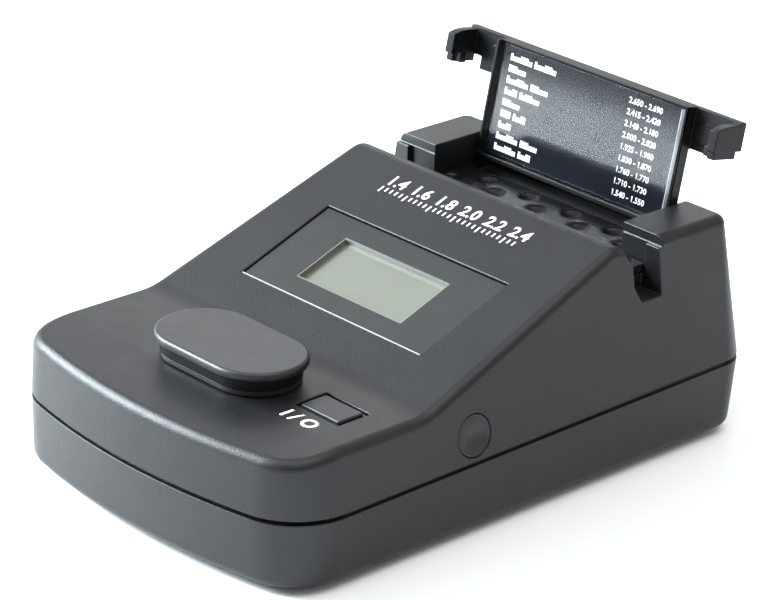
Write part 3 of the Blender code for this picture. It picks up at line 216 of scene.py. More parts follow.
SKY_COLOUR = (0.965, 0.985, 1.0, 1.0)
SKY_ACROSS = (0.83, -0.55, 0.0)              # towards the darker right side
SKY_FALL = (-0.35, 0.75, 1.08, 0.66)         # from least and most, to first and last
SKY_BANDS = ((0.04, 0.38), (0.34, 1.10), (0.48, 1.0), (0.72, 0.62), (0.92, 1.25))
MIDDLE = (0.0, -0.01, 0.03)
LIGHTS = (                                   # name, place, aim, size, watts, colour
    ("key", (-0.94, -0.57, 0.61), (-0.12, -0.16, 0.0), (0.8, 0.7), 69.0, (0.85, 0.94, 1.0)),
    ("rear", (-1.06, 1.02, 0.63), MIDDLE, (0.8, 0.5), 2.3, (0.96, 0.99, 1.0)),
    ("overhead", (0.40, -0.10, 1.30), MIDDLE, (1.0, 1.0), 9.0, (1.0, 1.0, 0.99)))
FLOOR_HALF = 3.0
FLOOR_CELLS = 24
FLOOR_COLOUR = (0.965, 0.975, 0.98)
FLOOR_ROUGHNESS = 0.75


def make_camera():
    data = bpy.data.cameras.new("camera")
    data.sensor_width = SENSOR
    data.lens = LENS
    data.clip_start = CLIP_START
    camera = bpy.data.objects.new("camera", data)
    bpy.context.scene.collection.objects.link(camera)
    towards = Vector((-sin(VIEW_AZIMUTH) * cos(VIEW_ELEVATION),
                      cos(VIEW_AZIMUTH) * cos(VIEW_ELEVATION), -sin(VIEW_ELEVATION)))
    turn = towards.to_track_quat("-Z", "Y").to_matrix().to_4x4()
    camera.matrix_world = (Matrix.Translation(VIEW_AIM - towards * VIEW_DISTANCE) @ turn
                           @ Matrix.Rotation(VIEW_ROLL, 4, "Z"))
    bpy.context.scene.camera = camera


def area_light(name, place, aim, size, power, colour):
    data = bpy.data.lights.new(name, "AREA")
    data.shape = "RECTANGLE"
    data.size, data.size_y = size
    data.energy = power
    data.color = colour
    lamp = bpy.data.objects.new(name, data)
    bpy.context.scene.collection.objects.link(lamp)
    lamp.location = place
    lamp.rotation_euler = (Vector(aim) - Vector(place)).to_track_quat("-Z", "Y").to_euler()


def map_range(tree, source, limits):
    """A source spread from its least and most to a first and last value."""
    spread = tree.nodes.new("ShaderNodeMapRange")
    for socket, value in zip(("From Min", "From Max", "To Min", "To Max"), limits):
        spread.inputs[socket].default_value = value
    tree.links.new(source, spread.inputs["Value"])
    return spread.outputs["Result"]


def studio_world():
    """White surroundings, dimmer on the right, near the horizon and overhead."""
    world = bpy.data.worlds.new("studio")
    world.use_nodes = True
    tree = world.node_tree
    sky = tree.nodes["Background"]
    sky.inputs["Color"].default_value = SKY_COLOUR
    place = tree.nodes.new("ShaderNodeTexCoord")
    across = tree.nodes.new("ShaderNodeVectorMath")
    across.operation = "DOT_PRODUCT"
    across.inputs[1].default_value = SKY_ACROSS
    tree.links.new(place.outputs["Generated"], across.inputs[0])
    fall = map_range(tree, across.outputs["Value"], SKY_FALL)
    height = tree.nodes.new("ShaderNodeSeparateXYZ")
    horizon = tree.nodes.new("ShaderNodeValToRGB")
    bands = horizon.color_ramp.elements
    for height_up, _ in SKY_BANDS[1:-1]:
        bands.new(height_up)
    for band, (height_up, grey) in zip(bands, SKY_BANDS):
        band.position = height_up
        band.color = (grey, grey, grey, 1.0)
    both = tree.nodes.new("ShaderNodeMath")
    both.operation = "MULTIPLY"
    tree.links.new(place.outputs["Generated"], height.inputs["Vector"])
    tree.links.new(height.outputs["Z"], horizon.inputs["Fac"])
    tree.links.new(fall, both.inputs[0])
    tree.links.new(horizon.outputs["Color"], both.inputs[1])
    tree.links.new(both.outputs["Value"], sky.inputs["Strength"])
    return world


def make_studio():
    scene = bpy.context.scene
    scene.view_settings.view_transform = "Standard"
    scene.world = studio_world()
    for lamp in LIGHTS:
        area_light(*lamp)
    builder = bmesh.new()
    bmesh.ops.create_grid(builder, x_segments=FLOOR_CELLS, y_segments=FLOOR_CELLS,
                          size=FLOOR_HALF)
    mesh = bpy.data.meshes.new("floor")
    builder.to_mesh(mesh)
    builder.free()
    floor = bpy.data.objects.new("floor", mesh)
    scene.collection.objects.link(floor)
    mesh.materials.append(new_finish("floor_paper", FLOOR_COLOUR, FLOOR_ROUGHNESS))


def new_finish(name, colour, roughness, sockets=None):
    made = bpy.data.materials.new(name)
    made.use_nodes = True
    shader = made.node_tree.nodes["Principled BSDF"]
    shader.inputs["Base Color"].default_value = (*colour, 1.0)
    shader.inputs["Roughness"].default_value = roughness
    for socket, value in (sockets or {}).items():
        shader.inputs[socket].default_value = value
    return made


make_camera()
make_studio()


# ---- materials ----
TONE_SPAN = (0.32, 0.68)        # where the two tones of a surface meet in its pattern
GLOSS_SPAN = (0.3, 0.7)         # the same for its roughness
GLOSS_FINER = 3.0               # that pattern is finer than the tones'
DRIFT_DETAIL = 4.0
GRAIN_DETAIL = 2.0


def pattern(tree, scale, detail, stretch):
    """Noise in the piece's own coordinates, in cells per metre."""
    place = tree.nodes.new("ShaderNodeTexCoord")
    turn = tree.nodes.new("ShaderNodeMapping")
    turn.inputs["Scale"].default_value = stretch
    grain = tree.nodes.new("ShaderNodeTexNoise")
    grain.inputs["Scale"].default_value = scale
    grain.inputs["Detail"].default_value = detail
    tree.links.new(place.outputs["Object"], turn.inputs["Vector"])
    tree.links.new(turn.outputs["Vector"], grain.inputs["Vector"])
    return grain.outputs["Fac"]


def tinted(tree, shader, source, dark, light):
    """Colour that drifts between two tones with a pattern."""
    ramp = tree.nodes.new("ShaderNodeValToRGB")
    for end, place, tone in zip(ramp.color_ramp.elements, TONE_SPAN, (dark, light)):
        end.position = place
        end.color = (*tone, 1.0)
    tree.links.new(source, ramp.inputs["Fac"])
    tree.links.new(ramp.outputs["Color"], shader.inputs["Base Color"])


def uneven(tree, shader, source, low, high):
    """Roughness that drifts between two values with a pattern."""
    tree.links.new(map_range(tree, source, (*GLOSS_SPAN, low, high)),
                   shader.inputs["Roughness"])


def raised(tree, shader, source, depth, strength):
    """Bump from a pattern; depth is in millimetres."""
    relief = tree.nodes.new("ShaderNodeBump")
    relief.inputs["Distance"].default_value = depth * MM
    relief.inputs["Strength"].default_value = strength
    tree.links.new(source, relief.inputs["Height"])
    tree.links.new(relief.outputs["Normal"], shader.inputs["Normal"])


def surface(name, dark, light, rough, grain, depth, strength=0.5, drift=55.0,
            stretch=(1.0, 1.0, 1.0), sockets=None):
    """A moulded, rolled or printed surface: two tones, uneven gloss and a fine grain."""
    made = new_finish(name, light, rough[0], sockets)
    tree = made.node_tree
    shader = tree.nodes["Principled BSDF"]
    tinted(tree, shader, pattern(tree, drift, DRIFT_DETAIL, stretch), dark, light)
    uneven(tree, shader, pattern(tree, drift * GLOSS_FINER, DRIFT_DETAIL, stretch), *rough)
    raised(tree, shader, pattern(tree, grain, GRAIN_DETAIL, stretch), depth, strength)
    return made


ALONG = (0.05, 1.0, 1.0)        # brushed or drawn along X
CLEAR = {"Transmission Weight": 1.0, "IOR": 1.5}
SATIN = {"Specular IOR Level": 0.37}
FLAT = {"Specular IOR Level": 0.16}
GLAZED = {"Specular IOR Level": 0.10, "Coat Weight": 0.8, "Coat Roughness": 0.03,
          "Coat IOR": 1.5}
FINISHES = {}


def slot_finish(name, *values, **more):
    """The surface of one material slot of the record."""
    FINISHES[name] = surface(name, *values, **more)


slot_finish("case_black", (0.0042, 0.0048, 0.0054), (0.0064, 0.0072, 0.0078), (0.40, 0.44),
            2500.0, 0.085, 0.9, sockets=SATIN)
slot_finish("lid_black", (0.0034, 0.0037, 0.0044), (0.0054, 0.0058, 0.0066), (0.34, 0.40),
            3600.0, 0.03, sockets=FLAT)
slot_finish("shield_black", (0.0060, 0.0068, 0.0075), (0.0085, 0.0095, 0.0105), (0.39, 0.43),
            2700.0, 0.06, 0.8)
slot_finish("button_grey", (0.0085, 0.0095, 0.0105), (0.012, 0.0135, 0.0145), (0.42, 0.50),
            2600.0, 0.05)
slot_finish("rubber_black", (0.014, 0.014, 0.015), (0.024, 0.024, 0.025), (0.72, 0.86), 1800.0,
            0.06)
slot_finish("lcd_grey", (0.128, 0.133, 0.111), (0.138, 0.144, 0.121), (0.16, 0.24), 3800.0,
            0.008, 0.3)
slot_finish("clear_sheet", (0.020, 0.024, 0.030), (0.028, 0.032, 0.038), (0.03, 0.04), 400.0,
            0.0004, 0.1, sockets={"Alpha": 0.05})
slot_finish("card_black", (0.004, 0.005, 0.008), (0.006, 0.0075, 0.011), (0.26, 0.32), 1500.0,
            0.002, 0.2, sockets=GLAZED)
slot_finish("steel", (0.52, 0.52, 0.54), (0.64, 0.64, 0.66), (0.24, 0.38), 2200.0, 0.02,
            drift=300.0, stretch=ALONG, sockets={"Metallic": 1.0})
slot_finish("nickel", (0.62, 0.60, 0.54), (0.73, 0.71, 0.65), (0.26, 0.38), 1800.0, 0.02,
            drift=240.0, stretch=ALONG, sockets={"Metallic": 1.0})
slot_finish("glass", (0.86, 0.92, 0.97), (0.93, 0.96, 1.0), (0.02, 0.05), 500.0, 0.002,
            sockets=CLEAR)
slot_finish("board_green", (0.020, 0.12, 0.05), (0.045, 0.19, 0.085), (0.34, 0.50), 900.0, 0.03,
            drift=420.0)
slot_finish("chip_black", (0.014, 0.014, 0.016), (0.024, 0.024, 0.026), (0.50, 0.62), 2600.0,
            0.03)
slot_finish("cell_sleeve", (0.12, 0.15, 0.21), (0.17, 0.20, 0.26), (0.24, 0.36), 700.0, 0.02)
slot_finish("ribbon_grey", (0.34, 0.35, 0.37), (0.47, 0.48, 0.50), (0.44, 0.56), 1500.0, 0.05,
            drift=1500.0, stretch=(1.0, 0.03, 0.03))
PRINT_WHITE = surface("print_white", (0.84, 0.85, 0.86), (0.92, 0.93, 0.94), (0.42, 0.54),
                      1800.0, 0.01, drift=900.0)
# The light shield's walls under the cap plate: a darker copy of the shield's black, painted
# shade.
SHIELD_WALLS_PAINTED_SHADE = surface("shield_walls_painted_shade", (0.0030, 0.0034, 0.0042), (0.0048, 0.0054, 0.0064),
                       (0.46, 0.52), 2700.0, 0.05, sockets=FLAT)
TRAY_BLACK = surface("tray_black", (0.0050, 0.0055, 0.0065), (0.0080, 0.0085, 0.0095),
                     (0.20, 0.25), 3000.0, 0.01, sockets=FLAT)
BEZEL_BLACK = surface("bezel_black", (0.0068, 0.0078, 0.0076), (0.0092, 0.0104, 0.0100),
                      (0.40, 0.44), 2500.0, 0.07, 0.8)
# The display window's edge: a lighter copy of the display's grey-green, painted light seen
# through the clear plastic.
LCD_EDGE_PAINTED_LIGHT = surface("lcd_edge_painted_light", (0.145, 0.153, 0.130), (0.16, 0.167, 0.145), (0.20, 0.30),
                   1500.0, 0.004)
# Whitish finish for two painted highlights: the bezel plate's front edge and the clear sheet's
# cut edge.
PAINTED_HIGHLIGHT = surface("painted_edge_highlight", (0.36, 0.39, 0.40), (0.48, 0.51, 0.52), (0.12, 0.20),
                     1500.0, 0.004)

RECORD = frame["record"]
SLOTS = {row["node"]: row["material_slot"] for row in RECORD["subparts"]}
BODIES = {node: body for body, nodes in RECORD["behaviour"]["bodies"].items()
          for node in nodes}
for node_name, node in frame["nodes"].items():
    for holder in node.material_slots:
        holder.link = "OBJECT"
        holder.material = FINISHES[SLOTS[node_name]]


# ---- mesh helpers ----
WORKSHOP = bpy.data.collections.new("workshop")
bpy.context.scene.collection.children.link(WORKSHOP)


def to_mesh(builder, name, source=None):
    """A mesh from a bmesh, faces out; source marks every face by what it came from."""
    bmesh.ops.recalc_face_normals(builder, faces=builder.faces)
    if source is not None:
        for face in builder.faces:
            face.material_index = source
    mesh = bpy.data.meshes.new(name)
    builder.to_mesh(mesh)
    builder.free()
    for _ in range(3):
        mesh.materials.append(None)
    return mesh


def solid(name, mesh, place=None):
    made = bpy.data.objects.new(name, mesh)
    WORKSHOP.objects.link(made)
    if place is not None:
        made.matrix_world = place
    return made


def block(low, high, place=CASE, source=CUT):
    """A box between two corners in the place's own millimetres."""
    builder = bmesh.new()
    bmesh.ops.create_cube(builder, size=1.0)
    size = Vector(high) - Vector(low)
    middle = (Vector(high) + Vector(low)) / 2.0
    bmesh.ops.scale(builder, vec=size * MM, verts=builder.verts)
    bmesh.ops.translate(builder, vec=middle * MM, verts=builder.verts)
    return solid("block", to_mesh(builder, "block", source), place)


def rod(radius, low, high, place, source, steps=32):
    """A cylinder along the place's own Z."""
    builder = bmesh.new()
    bmesh.ops.create_cone(builder, cap_ends=True, segments=steps, radius1=radius * MM,
                          radius2=radius * MM, depth=(high - low) * MM)
    bmesh.ops.translate(builder, vec=(0.0, 0.0, (low + high) / 2.0 * MM),
                        verts=builder.verts)
    return solid("rod", to_mesh(builder, "rod", source), place)


def prism(points, low, high, place=CASE, source=CUT):
    """A flat outline in the place's XY, filled and carried from low to high."""
    builder = bmesh.new()
    foot = builder.faces.new([builder.verts.new((x * MM, y * MM, low * MM))
                              for x, y in points])
    risen = bmesh.ops.extrude_face_region(builder, geom=[foot])["geom"]
    corners = [item for item in risen if isinstance(item, bmesh.types.BMVert)]
    bmesh.ops.translate(builder, vec=(0.0, 0.0, (high - low) * MM), verts=corners)
    return solid("prism", to_mesh(builder, "prism", source), place)


def loft(rings, source, close=None, hidden=0):
    """A skin over closed rings of vectors; the first hidden bands get no fillets."""
    builder = bmesh.new()
    rows = [[builder.verts.new(point) for point in ring] for ring in rings]
    count = len(rows[0])
    for band, (lower, upper) in enumerate(zip(rows, rows[1:])):
        for k in range(count):
            following = (k + 1) % count
            face = builder.faces.new((lower[k], lower[following], upper[following],
                                      upper[k]))
            face.material_index = INNER if band < hidden else source
    for row in (rows[0], rows[-1]):
        if close is None:
            builder.faces.new(row)
        else:
            close(builder, row)
    bmesh.ops.remove_doubles(builder, verts=builder.verts, dist=WELD)
    return solid("loft", to_mesh(builder, "loft"))


def combine(base, steps):
    """Apply Boolean steps, each an operation and a tool, and give back the mesh."""
    for operation, tool in steps:
        cut = base.modifiers.new("cut", "BOOLEAN")
        cut.operation = operation
        cut.solver = "EXACT"
        cut.object = tool
    graph = bpy.context.evaluated_depsgraph_get()
    result = base.evaluated_get(graph)
    mesh = bpy.data.meshes.new_from_object(result)
    mesh.transform(base.matrix_world)
    for _, tool in steps:
        bpy.data.objects.remove(tool, do_unlink=True)
    bpy.data.objects.remove(base, do_unlink=True)
    return mesh


def cut(*tools):
    return [("DIFFERENCE", tool) for tool in tools]


def join(*tools):
    return [("UNION", tool) for tool in tools]


def extra(name, mesh, body, finish):
    """A visible piece in one finish, which by itself stands for no CAD node."""
    mesh.materials.clear()
    mesh.materials.append(finish)
    for face in mesh.polygons:
        face.material_index = 0
    made = bpy.data.objects.new(name, mesh)
    bpy.context.scene.collection.objects.link(made)
    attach(made, body)
    return made


def edge_is_rounded(edge):
    """Visible corners get a fillet: those of a cut, and those sharper than the limit."""
    if len(edge.link_faces) != 2:
        return False
    sources = [face.material_index for face in edge.link_faces]
    if INNER in sources:
        return False
    turn = edge.calc_face_angle(0.0)
    return turn > SHARP_TURN or (sources[0] != sources[1] and turn > SEAM_TURN)


def piece(name, mesh, finish=None, round_by=0.0, segments=3):
    """The visible shape of a CAD node: clean facets, small fillets and even shading."""
    builder = bmesh.new()
    builder.from_mesh(mesh)
    bmesh.ops.remove_doubles(builder, verts=builder.verts, dist=WELD_CUTS)
    bmesh.ops.dissolve_limit(builder, angle_limit=FLAT_TURN, verts=builder.verts,
                             edges=builder.edges, delimit={"MATERIAL"})
    weight = builder.edges.layers.float.new("bevel_weight_edge")
    for edge in builder.edges:
        if edge_is_rounded(edge):
            edge[weight] = 1.0
    for face in builder.faces:
        face.smooth = True
    builder.to_mesh(mesh)
    builder.free()
    made = extra(name + "_shape", mesh, BODIES[name],
                 finish or FINISHES[SLOTS[name]])
    if round_by > 0.0:
        fillet = made.modifiers.new("fillet", "BEVEL")
        fillet.limit_method = "WEIGHT"
        fillet.width = round_by * MM
        fillet.segments = segments
        fillet.use_clamp_overlap = False
        fillet.loop_slide = True
        fillet.miter_outer = "MITER_ARC"
    made.modifiers.new("shading", "WEIGHTED_NORMAL").keep_sharp = True
    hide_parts(name)


# ---- outer form of the case ----
CREST_CENTRE_D = CREST_BACK - CREST_ROUND
CREST_CENTRE_Z = slope_z(CREST_CENTRE_D) - CREST_ROUND / cos(SLOPE)
CREST_TANGENT_D = CREST_CENTRE_D - CREST_ROUND * sin(SLOPE)
BLEND_START = SLOPE_START - BLEND_RADIUS * tan(SLOPE / 2.0)
BLEND_END = SLOPE_START + BLEND_RADIUS * tan(SLOPE / 2.0) * cos(SLOPE)


def top_z(d):
    """Height of the case's top at a distance from the front."""
    if d < LIP_BREAK:
        return LIP_Z + (DECK_Z - LIP_Z) * max(d, 0.0) / LIP_BREAK
    if d < BLEND_START:
        return DECK_Z
    if d < BLEND_END:
        return DECK_Z + BLEND_RADIUS - sqrt(BLEND_RADIUS ** 2 - (d - BLEND_START) ** 2)
    if d < CREST_TANGENT_D:
        return slope_z(d)
    if d < CREST_BACK - CREST_BREAK:
        return CREST_CENTRE_Z + sqrt(CREST_ROUND ** 2 - (d - CREST_CENTRE_D) ** 2)
    return TOWER_Z


def parting_z(d):
    return PARTING_FRONT + PARTING_RISE * d / CASE_LENGTH


def side_distances():
    """Where the straight side walls need points: the bends of the top."""
    places = [LIP_BREAK, (LIP_BREAK + BLEND_START) / 2.0]
    for step in range(BLEND_STEPS + 1):
        places.append(BLEND_START + (BLEND_END - BLEND_START) * step / BLEND_STEPS)
    for step in range(1, SLOPE_STEPS):
        places.append(BLEND_END + (CREST_TANGENT_D - BLEND_END) * step / SLOPE_STEPS)
    for step in range(CREST_STEPS + 1):
        swing = SLOPE - (SLOPE + CREST_TURN) * step / CREST_STEPS
        places.append(CREST_CENTRE_D - CREST_ROUND * sin(swing))
    return places + [CREST_BACK + 0.3, TOWER_FRONT + 1.5, (TOWER_FRONT + CASE_LENGTH) / 2.0]


def half_outline():
    """Half of the plan at the parting line: (x, d) and the inward direction there."""
    bow = (HALF_WIDTH ** 2 + FRONT_SAGITTA ** 2) / (2.0 * FRONT_SAGITTA)
    reach = HALF_WIDTH - FRONT_CORNER
    corner_d = bow - sqrt((bow - FRONT_CORNER) ** 2 - reach ** 2)
    tangent = atan2(reach, bow - corner_d)
    places = []
    for step in range(BOW_STEPS):
        angle = tangent * step / BOW_STEPS
        places.append(((bow * sin(angle), bow * (1.0 - cos(angle))),
                       (-sin(angle), cos(angle))))
    for step in range(CORNER_STEPS + 1):
        angle = tangent + (pi / 2.0 - tangent) * step / CORNER_STEPS
        places.append(((reach + FRONT_CORNER * sin(angle),
                        corner_d - FRONT_CORNER * cos(angle)), (-sin(angle), cos(angle))))
    for d in side_distances():
        places.append(((HALF_WIDTH, d), (-1.0, 0.0)))
    for step in range(CORNER_STEPS + 1):
        angle = pi / 2.0 * step / CORNER_STEPS
        places.append(((HALF_WIDTH - REAR_CORNER * (1.0 - cos(angle)),
                        CASE_LENGTH - REAR_CORNER * (1.0 - sin(angle))),
                       (-cos(angle), -sin(angle))))
    places.append(((0.0, CASE_LENGTH), (0.0, -1.0)))
    return places


OUTLINE = half_outline()


def corner_share(inward):
    """One in the middle of a front corner, nothing on the straight walls."""
    return 4.0 * (inward[0] * inward[1]) ** 2 if inward[1] > 0.0 else 0.0


def upper_draft(inward):
    ends = FRONT_DRAFT if inward[1] > 0.0 else REAR_DRAFT
    draft = SIDE_DRAFT * inward[0] ** 2 + ends * inward[1] ** 2
    return draft - CORNER_UPRIGHT * corner_share(inward)


def whole_ring(half):
    """A closed ring of frame points from one half, front centre to rear centre."""
    other = [(-x, d, z) for x, d, z in half[-2:0:-1]]
    return [spot(x, d, z) for x, d, z in half + other]


def close_across(builder, row):
    """Close a case ring with strips from side to side, so that curved tops stay true."""
    half = len(row) // 2
    rear = row[half].co.y
    straight = min(k for k in range(half + 1) if abs(row[k].co.y - rear) < LEVEL)
    builder.faces.new((row[0], row[1], row[-1]))
    for k in range(1, straight - 1):
        builder.faces.new((row[k], row[k + 1], row[-k - 1], row[-k]))
    last = [row[k] for k in range(straight - 1, half + 1)]
    builder.faces.new(last + [row[-k] for k in range(half - 1, straight - 2, -1)])


# A form's levels are (inset along the wall's normal, height above the joint, turn): walls
# have a height, and the rounded end has a turn instead.
def end_levels(shrink, rounding):
    steps = ROUND_STEPS if rounding > 1.0 else 2
    return [(shrink, None, pi / 2.0 * k / steps) for k in range(steps + 1)]


def upper_form(shrink, rounding, source):
    if shrink > 0.0:
        levels = [(shrink, -2.0, None)]
    else:
        inner = LIP_DEPTH - LIP_PLAY
        levels = [(inner, HALF_GAP + 1.2, None), (inner, HALF_GAP, None),
                  (EDGE_OUT, HALF_GAP, None), (EDGE_UP, HALF_GAP + EDGE_UP, None),
                  (0.0, HALF_GAP + EDGE_OUT, None)]
    rings = []
    for inset_flat, lift, turn in levels + end_levels(shrink, rounding):
        half = []
        for (x, d), inward in OUTLINE:
            draft = upper_draft(inward)
            if turn is None:
                inset = inset_flat + draft * lift
            else:
                rise = top_z(d) - shrink - rounding - parting_z(d)
                inset = inset_flat + draft * rise + rounding * (1.0 - cos(turn))
            px, pd = max(x + inward[0] * inset, 0.0), d + inward[1] * inset
            if turn is None:
                z = parting_z(d) + lift
            else:
                z = top_z(pd) - shrink - rounding * (1.0 - sin(turn))
            half.append((px, pd, z))
        rings.append(whole_ring(half))
    return loft(rings, source, close_across, len(rings) if shrink > 0.0 else 4)


def lower_form(shrink, rounding, source):
    if shrink > 0.0:
        levels = [(shrink, 3.0, None)]
    else:
        levels = [(LIP_DEPTH, 1.0, None), (LIP_DEPTH, -HALF_GAP, None),
                  (EDGE_OUT, -HALF_GAP, None), (EDGE_UP, -HALF_GAP - EDGE_UP, None),
                  (0.0, -HALF_GAP - EDGE_OUT, None)]
    bottom = FLOOR_Z + shrink
    rings = []
    for inset_flat, lift, turn in levels + end_levels(shrink, rounding):
        half = []
        for (x, d), inward in OUTLINE:
            draft = LOWER_DRAFT * (1.0 - CORNER_LESS * corner_share(inward))
            if turn is None:
                inset, z = inset_flat - draft * min(lift, 0.0), parting_z(d) + lift
            else:
                depth = parting_z(d) - bottom - rounding
                inset = inset_flat + draft * depth + rounding * (1.0 - cos(turn))
                z = bottom + rounding * (1.0 - sin(turn))
            half.append((max(x + inward[0] * inset, 0.0), d + inward[1] * inset, z))
        rings.append(whole_ring(half))
    return loft(rings, source, close_across, len(rings) if shrink > 0.0 else 4)


def stadium(half_x, half_y, steps=20):
    """Points of a stadium whose long side is along X."""
    points = []
    for side in (1, -1):
        centre = side * (half_x - half_y)
        start = -pi / 2.0 if side == 1 else pi / 2.0
        for step in range(steps + 1):
            angle = start + pi * step / steps
            points.append((centre + half_y * cos(angle), half_y * sin(angle)))
    return points


# ---- the two halves of the case ----
WELL_Z = TRAY_Z - TRAY_THICK - GAP
DISPLAY_SHELF = (-34.0, -3.0, -3.2), (34.0, 32.0, -0.9)         # under the bezel
DISPLAY_OPENING = (-27.0, 3.0, -9.0), (27.0, 26.0, 1.0)
DISPLAY_POSTS = [(side * 30.0, up) for up in (1.0, 28.0) for side in (-1, 1)]
DISPLAY_POST_RADIUS = 1.9
DISPLAY_POST_BORE = 1.05
DISPLAY_SEAT_PLAY = 0.15
SHIELD_OPENING = stadium(17.8, 9.3)
POST_RADIUS, POST_BORE, POST_BORE_DEEP = 3.4, 1.35, 10.5
LOWER_POST_RADIUS, LOWER_POST_BORE, HEAD_BORE = 4.2, 1.6, 3.0
FOOT_RECESS_RADIUS, FOOT_RECESS_DEEP = 4.6, 0.7


def mirrored(half):
    """A closed outline from its right half, first point to last."""
    return half + [(-x, y) for x, y in reversed(half)]


def wells(grow, source):
    """Cutters for the tee-shaped tray well and the two side notches."""
    outline = mirrored([(POCKET_INNER + grow, CREST_BACK - grow),
                        (POCKET_INNER + grow, TOWER_FRONT + grow),
                        (TOWER_INNER + grow, TOWER_FRONT + grow),
                        (TOWER_INNER + grow, REAR_WALL_FRONT + grow)])
    tools = [prism(outline, WELL_Z - grow, FAR, source=source),
             block((-TOWER_INNER - grow, TOWER_FRONT, REAR_WALL_Z - grow),
                   (TOWER_INNER + grow, CASE_LENGTH + FAR, FAR), CASE, source)]
    low, front, rear = NOTCH_Z - grow, NOTCH_FRONT - grow, NOTCH_REAR + grow
    profile = [(front, FAR), (front, low + NOTCH_SLANT_UP), (front + NOTCH_SLANT_BACK, low),
               (rear, low), (rear, FAR)]
    inner = POCKET_INNER - grow - 0.5
    for ends in ((inner, FAR), (-FAR, -inner)):
        tools.append(prism(profile, *ends, CASE @ PROFILE, source))
    return tools


def plug_place():
    """A place on the right wall, Z pointing out of it."""
    x = HALF_WIDTH - SIDE_DRAFT * (PLUG_Z - parting_z(PLUG_D))
    return at(x, PLUG_D, PLUG_Z) @ Matrix.Rotation(-atan(SIDE_DRAFT), 4, "Y") @ ALONG_X


PLUG_PLACE = plug_place()


def make_upper_case():
    hollow = combine(upper_form(WALL, 0.5, INNER), cut(*wells(WALL, INNER)))
    steps = cut(solid("hollow", hollow), *wells(0.0, CUT),
                block((-FAR, CREST_BACK, BAR_SEAT_Z), (FAR, TOWER_FRONT, FAR)))
    steps += join(block(*DISPLAY_SHELF, SLOPE_PLACE, INNER))
    for x, up in DISPLAY_POSTS:
        place = SLOPE_PLACE @ Matrix.Translation(Vector((x, up, 0.0)) * MM)
        steps += join(rod(DISPLAY_POST_RADIUS, -7.9, -2.0, place, INNER, 16))
        steps += cut(rod(DISPLAY_POST_BORE, -8.5, -3.4, place, INNER, 12))
    half = BEZEL_WIDTH / 2.0
    ledge = -(BEZEL_DEPTH + BEZEL_THICK + DISPLAY_SEAT_PLAY)
    steps += cut(block((-half, 0.0, ledge), (half, BEZEL_LENGTH, 10.0), SLOPE_PLACE),
                 block(*DISPLAY_OPENING, SLOPE_PLACE, INNER))
    steps += cut(prism(SHIELD_OPENING, 26.0, 40.0, at(0.0, SHIELD_D, 0.0), INNER))
    half_x, half_d = BUTTON_WIDTH / 2.0 + GAP, BUTTON_LENGTH / 2.0 + GAP
    for ring, low in ((0.0, 29.0), (BUTTON_MOAT, BUTTON_MOAT_Z)):
        steps += cut(block((BUTTON_X - half_x - ring, BUTTON_D - half_d - ring, low),
                           (BUTTON_X + half_x + ring, BUTTON_D + half_d + ring, 40.0)))
    steps += cut(rod(PLUG_RADIUS + GAP, -6.0, 6.0, PLUG_PLACE, CUT, 56))
    for side in (-1, 1):
        place = at(side * PIN_HOLE_X, LID_HINGE_D, LID_HINGE_Z) @ ALONG_X
        steps += cut(rod(PIN_BORE, -PIN_HOLE_REACH, PIN_HOLE_REACH, place, INNER, 20))
    for x, d in POSTS:
        low, place = parting_z(d) + 0.2, at(x, d, 0.0)
        steps += join(rod(POST_RADIUS, low, top_z(d) - 0.8, place, INNER, 20))
        steps += cut(rod(POST_BORE, low - 1.0, low + POST_BORE_DEEP, place, INNER, 16))
    piece("upper_case", combine(upper_form(0.0, TOP_ROUND, OUTER), steps), round_by=0.35)


def make_lower_case():
    outer_x, front = BAY_HALF_X + BAY_WALL, BAY_FRONT - BAY_WALL
    hollow = combine(lower_form(WALL, 0.8, INNER), cut(
        block((-outer_x, front, 0.0), (outer_x, BAY_REAR + WALL, BAY_ROOF_Z), CASE, INNER),
        block((-outer_x, front, 0.0), (outer_x, CASE_LENGTH + 1.0, DOOR_TOP_Z + 2.2), CASE,
              INNER)))
    lip_x, past = BAY_HALF_X + DOOR_LIP, CASE_LENGTH + 10.0
    steps = cut(solid("hollow", hollow),
                block((-BAY_HALF_X, BAY_FRONT, 1.0), (BAY_HALF_X, BAY_REAR, BAY_TOP_Z), CASE,
                      INNER),
                block((-BAY_HALF_X, DOOR_FRONT - GAP, -1.0),
                      (BAY_HALF_X, past, DOOR_SPLIT_Z + GAP), CASE, INNER),
                block((-lip_x, DOOR_FRONT - GAP, DOOR_SPLIT_Z - GAP),
                      (lip_x, past, DOOR_TOP_Z + GAP), CASE, INNER))
    for x, d in POSTS:
        top, place = parting_z(d) - 0.2, at(x, d, 0.0)
        steps += join(rod(LOWER_POST_RADIUS, 2.6, top, place, INNER, 24))
        steps += cut(rod(LOWER_POST_BORE, 1.0, top + 1.0, place, INNER, 20),
                     rod(HEAD_BORE, 0.0, HEAD_SEAT_Z, place, INNER, 28))
    for x, d in FEET:
        steps += cut(rod(FOOT_RECESS_RADIUS, 0.0, FLOOR_Z + FOOT_RECESS_DEEP, at(x, d, 0.0),
                         INNER, 40))
    for x, d in BOARD_POSTS:
        steps += join(rod(BOARD_POST_RADIUS, 3.0, 8.1, at(x, d, 0.0), INNER, 20))
        steps += cut(rod(BOARD_POST_BORE, 4.0, 9.3, at(x, d, 0.0), INNER, 16))
    piece("lower_case", combine(lower_form(0.0, BOTTOM_ROUND, OUTER), steps))


GRIP_REAR, GRIP_PITCH, GRIP_RADIUS, GRIP_HALF_X, GRIPS = 136.0, 2.4, 0.5, 9.0, 4


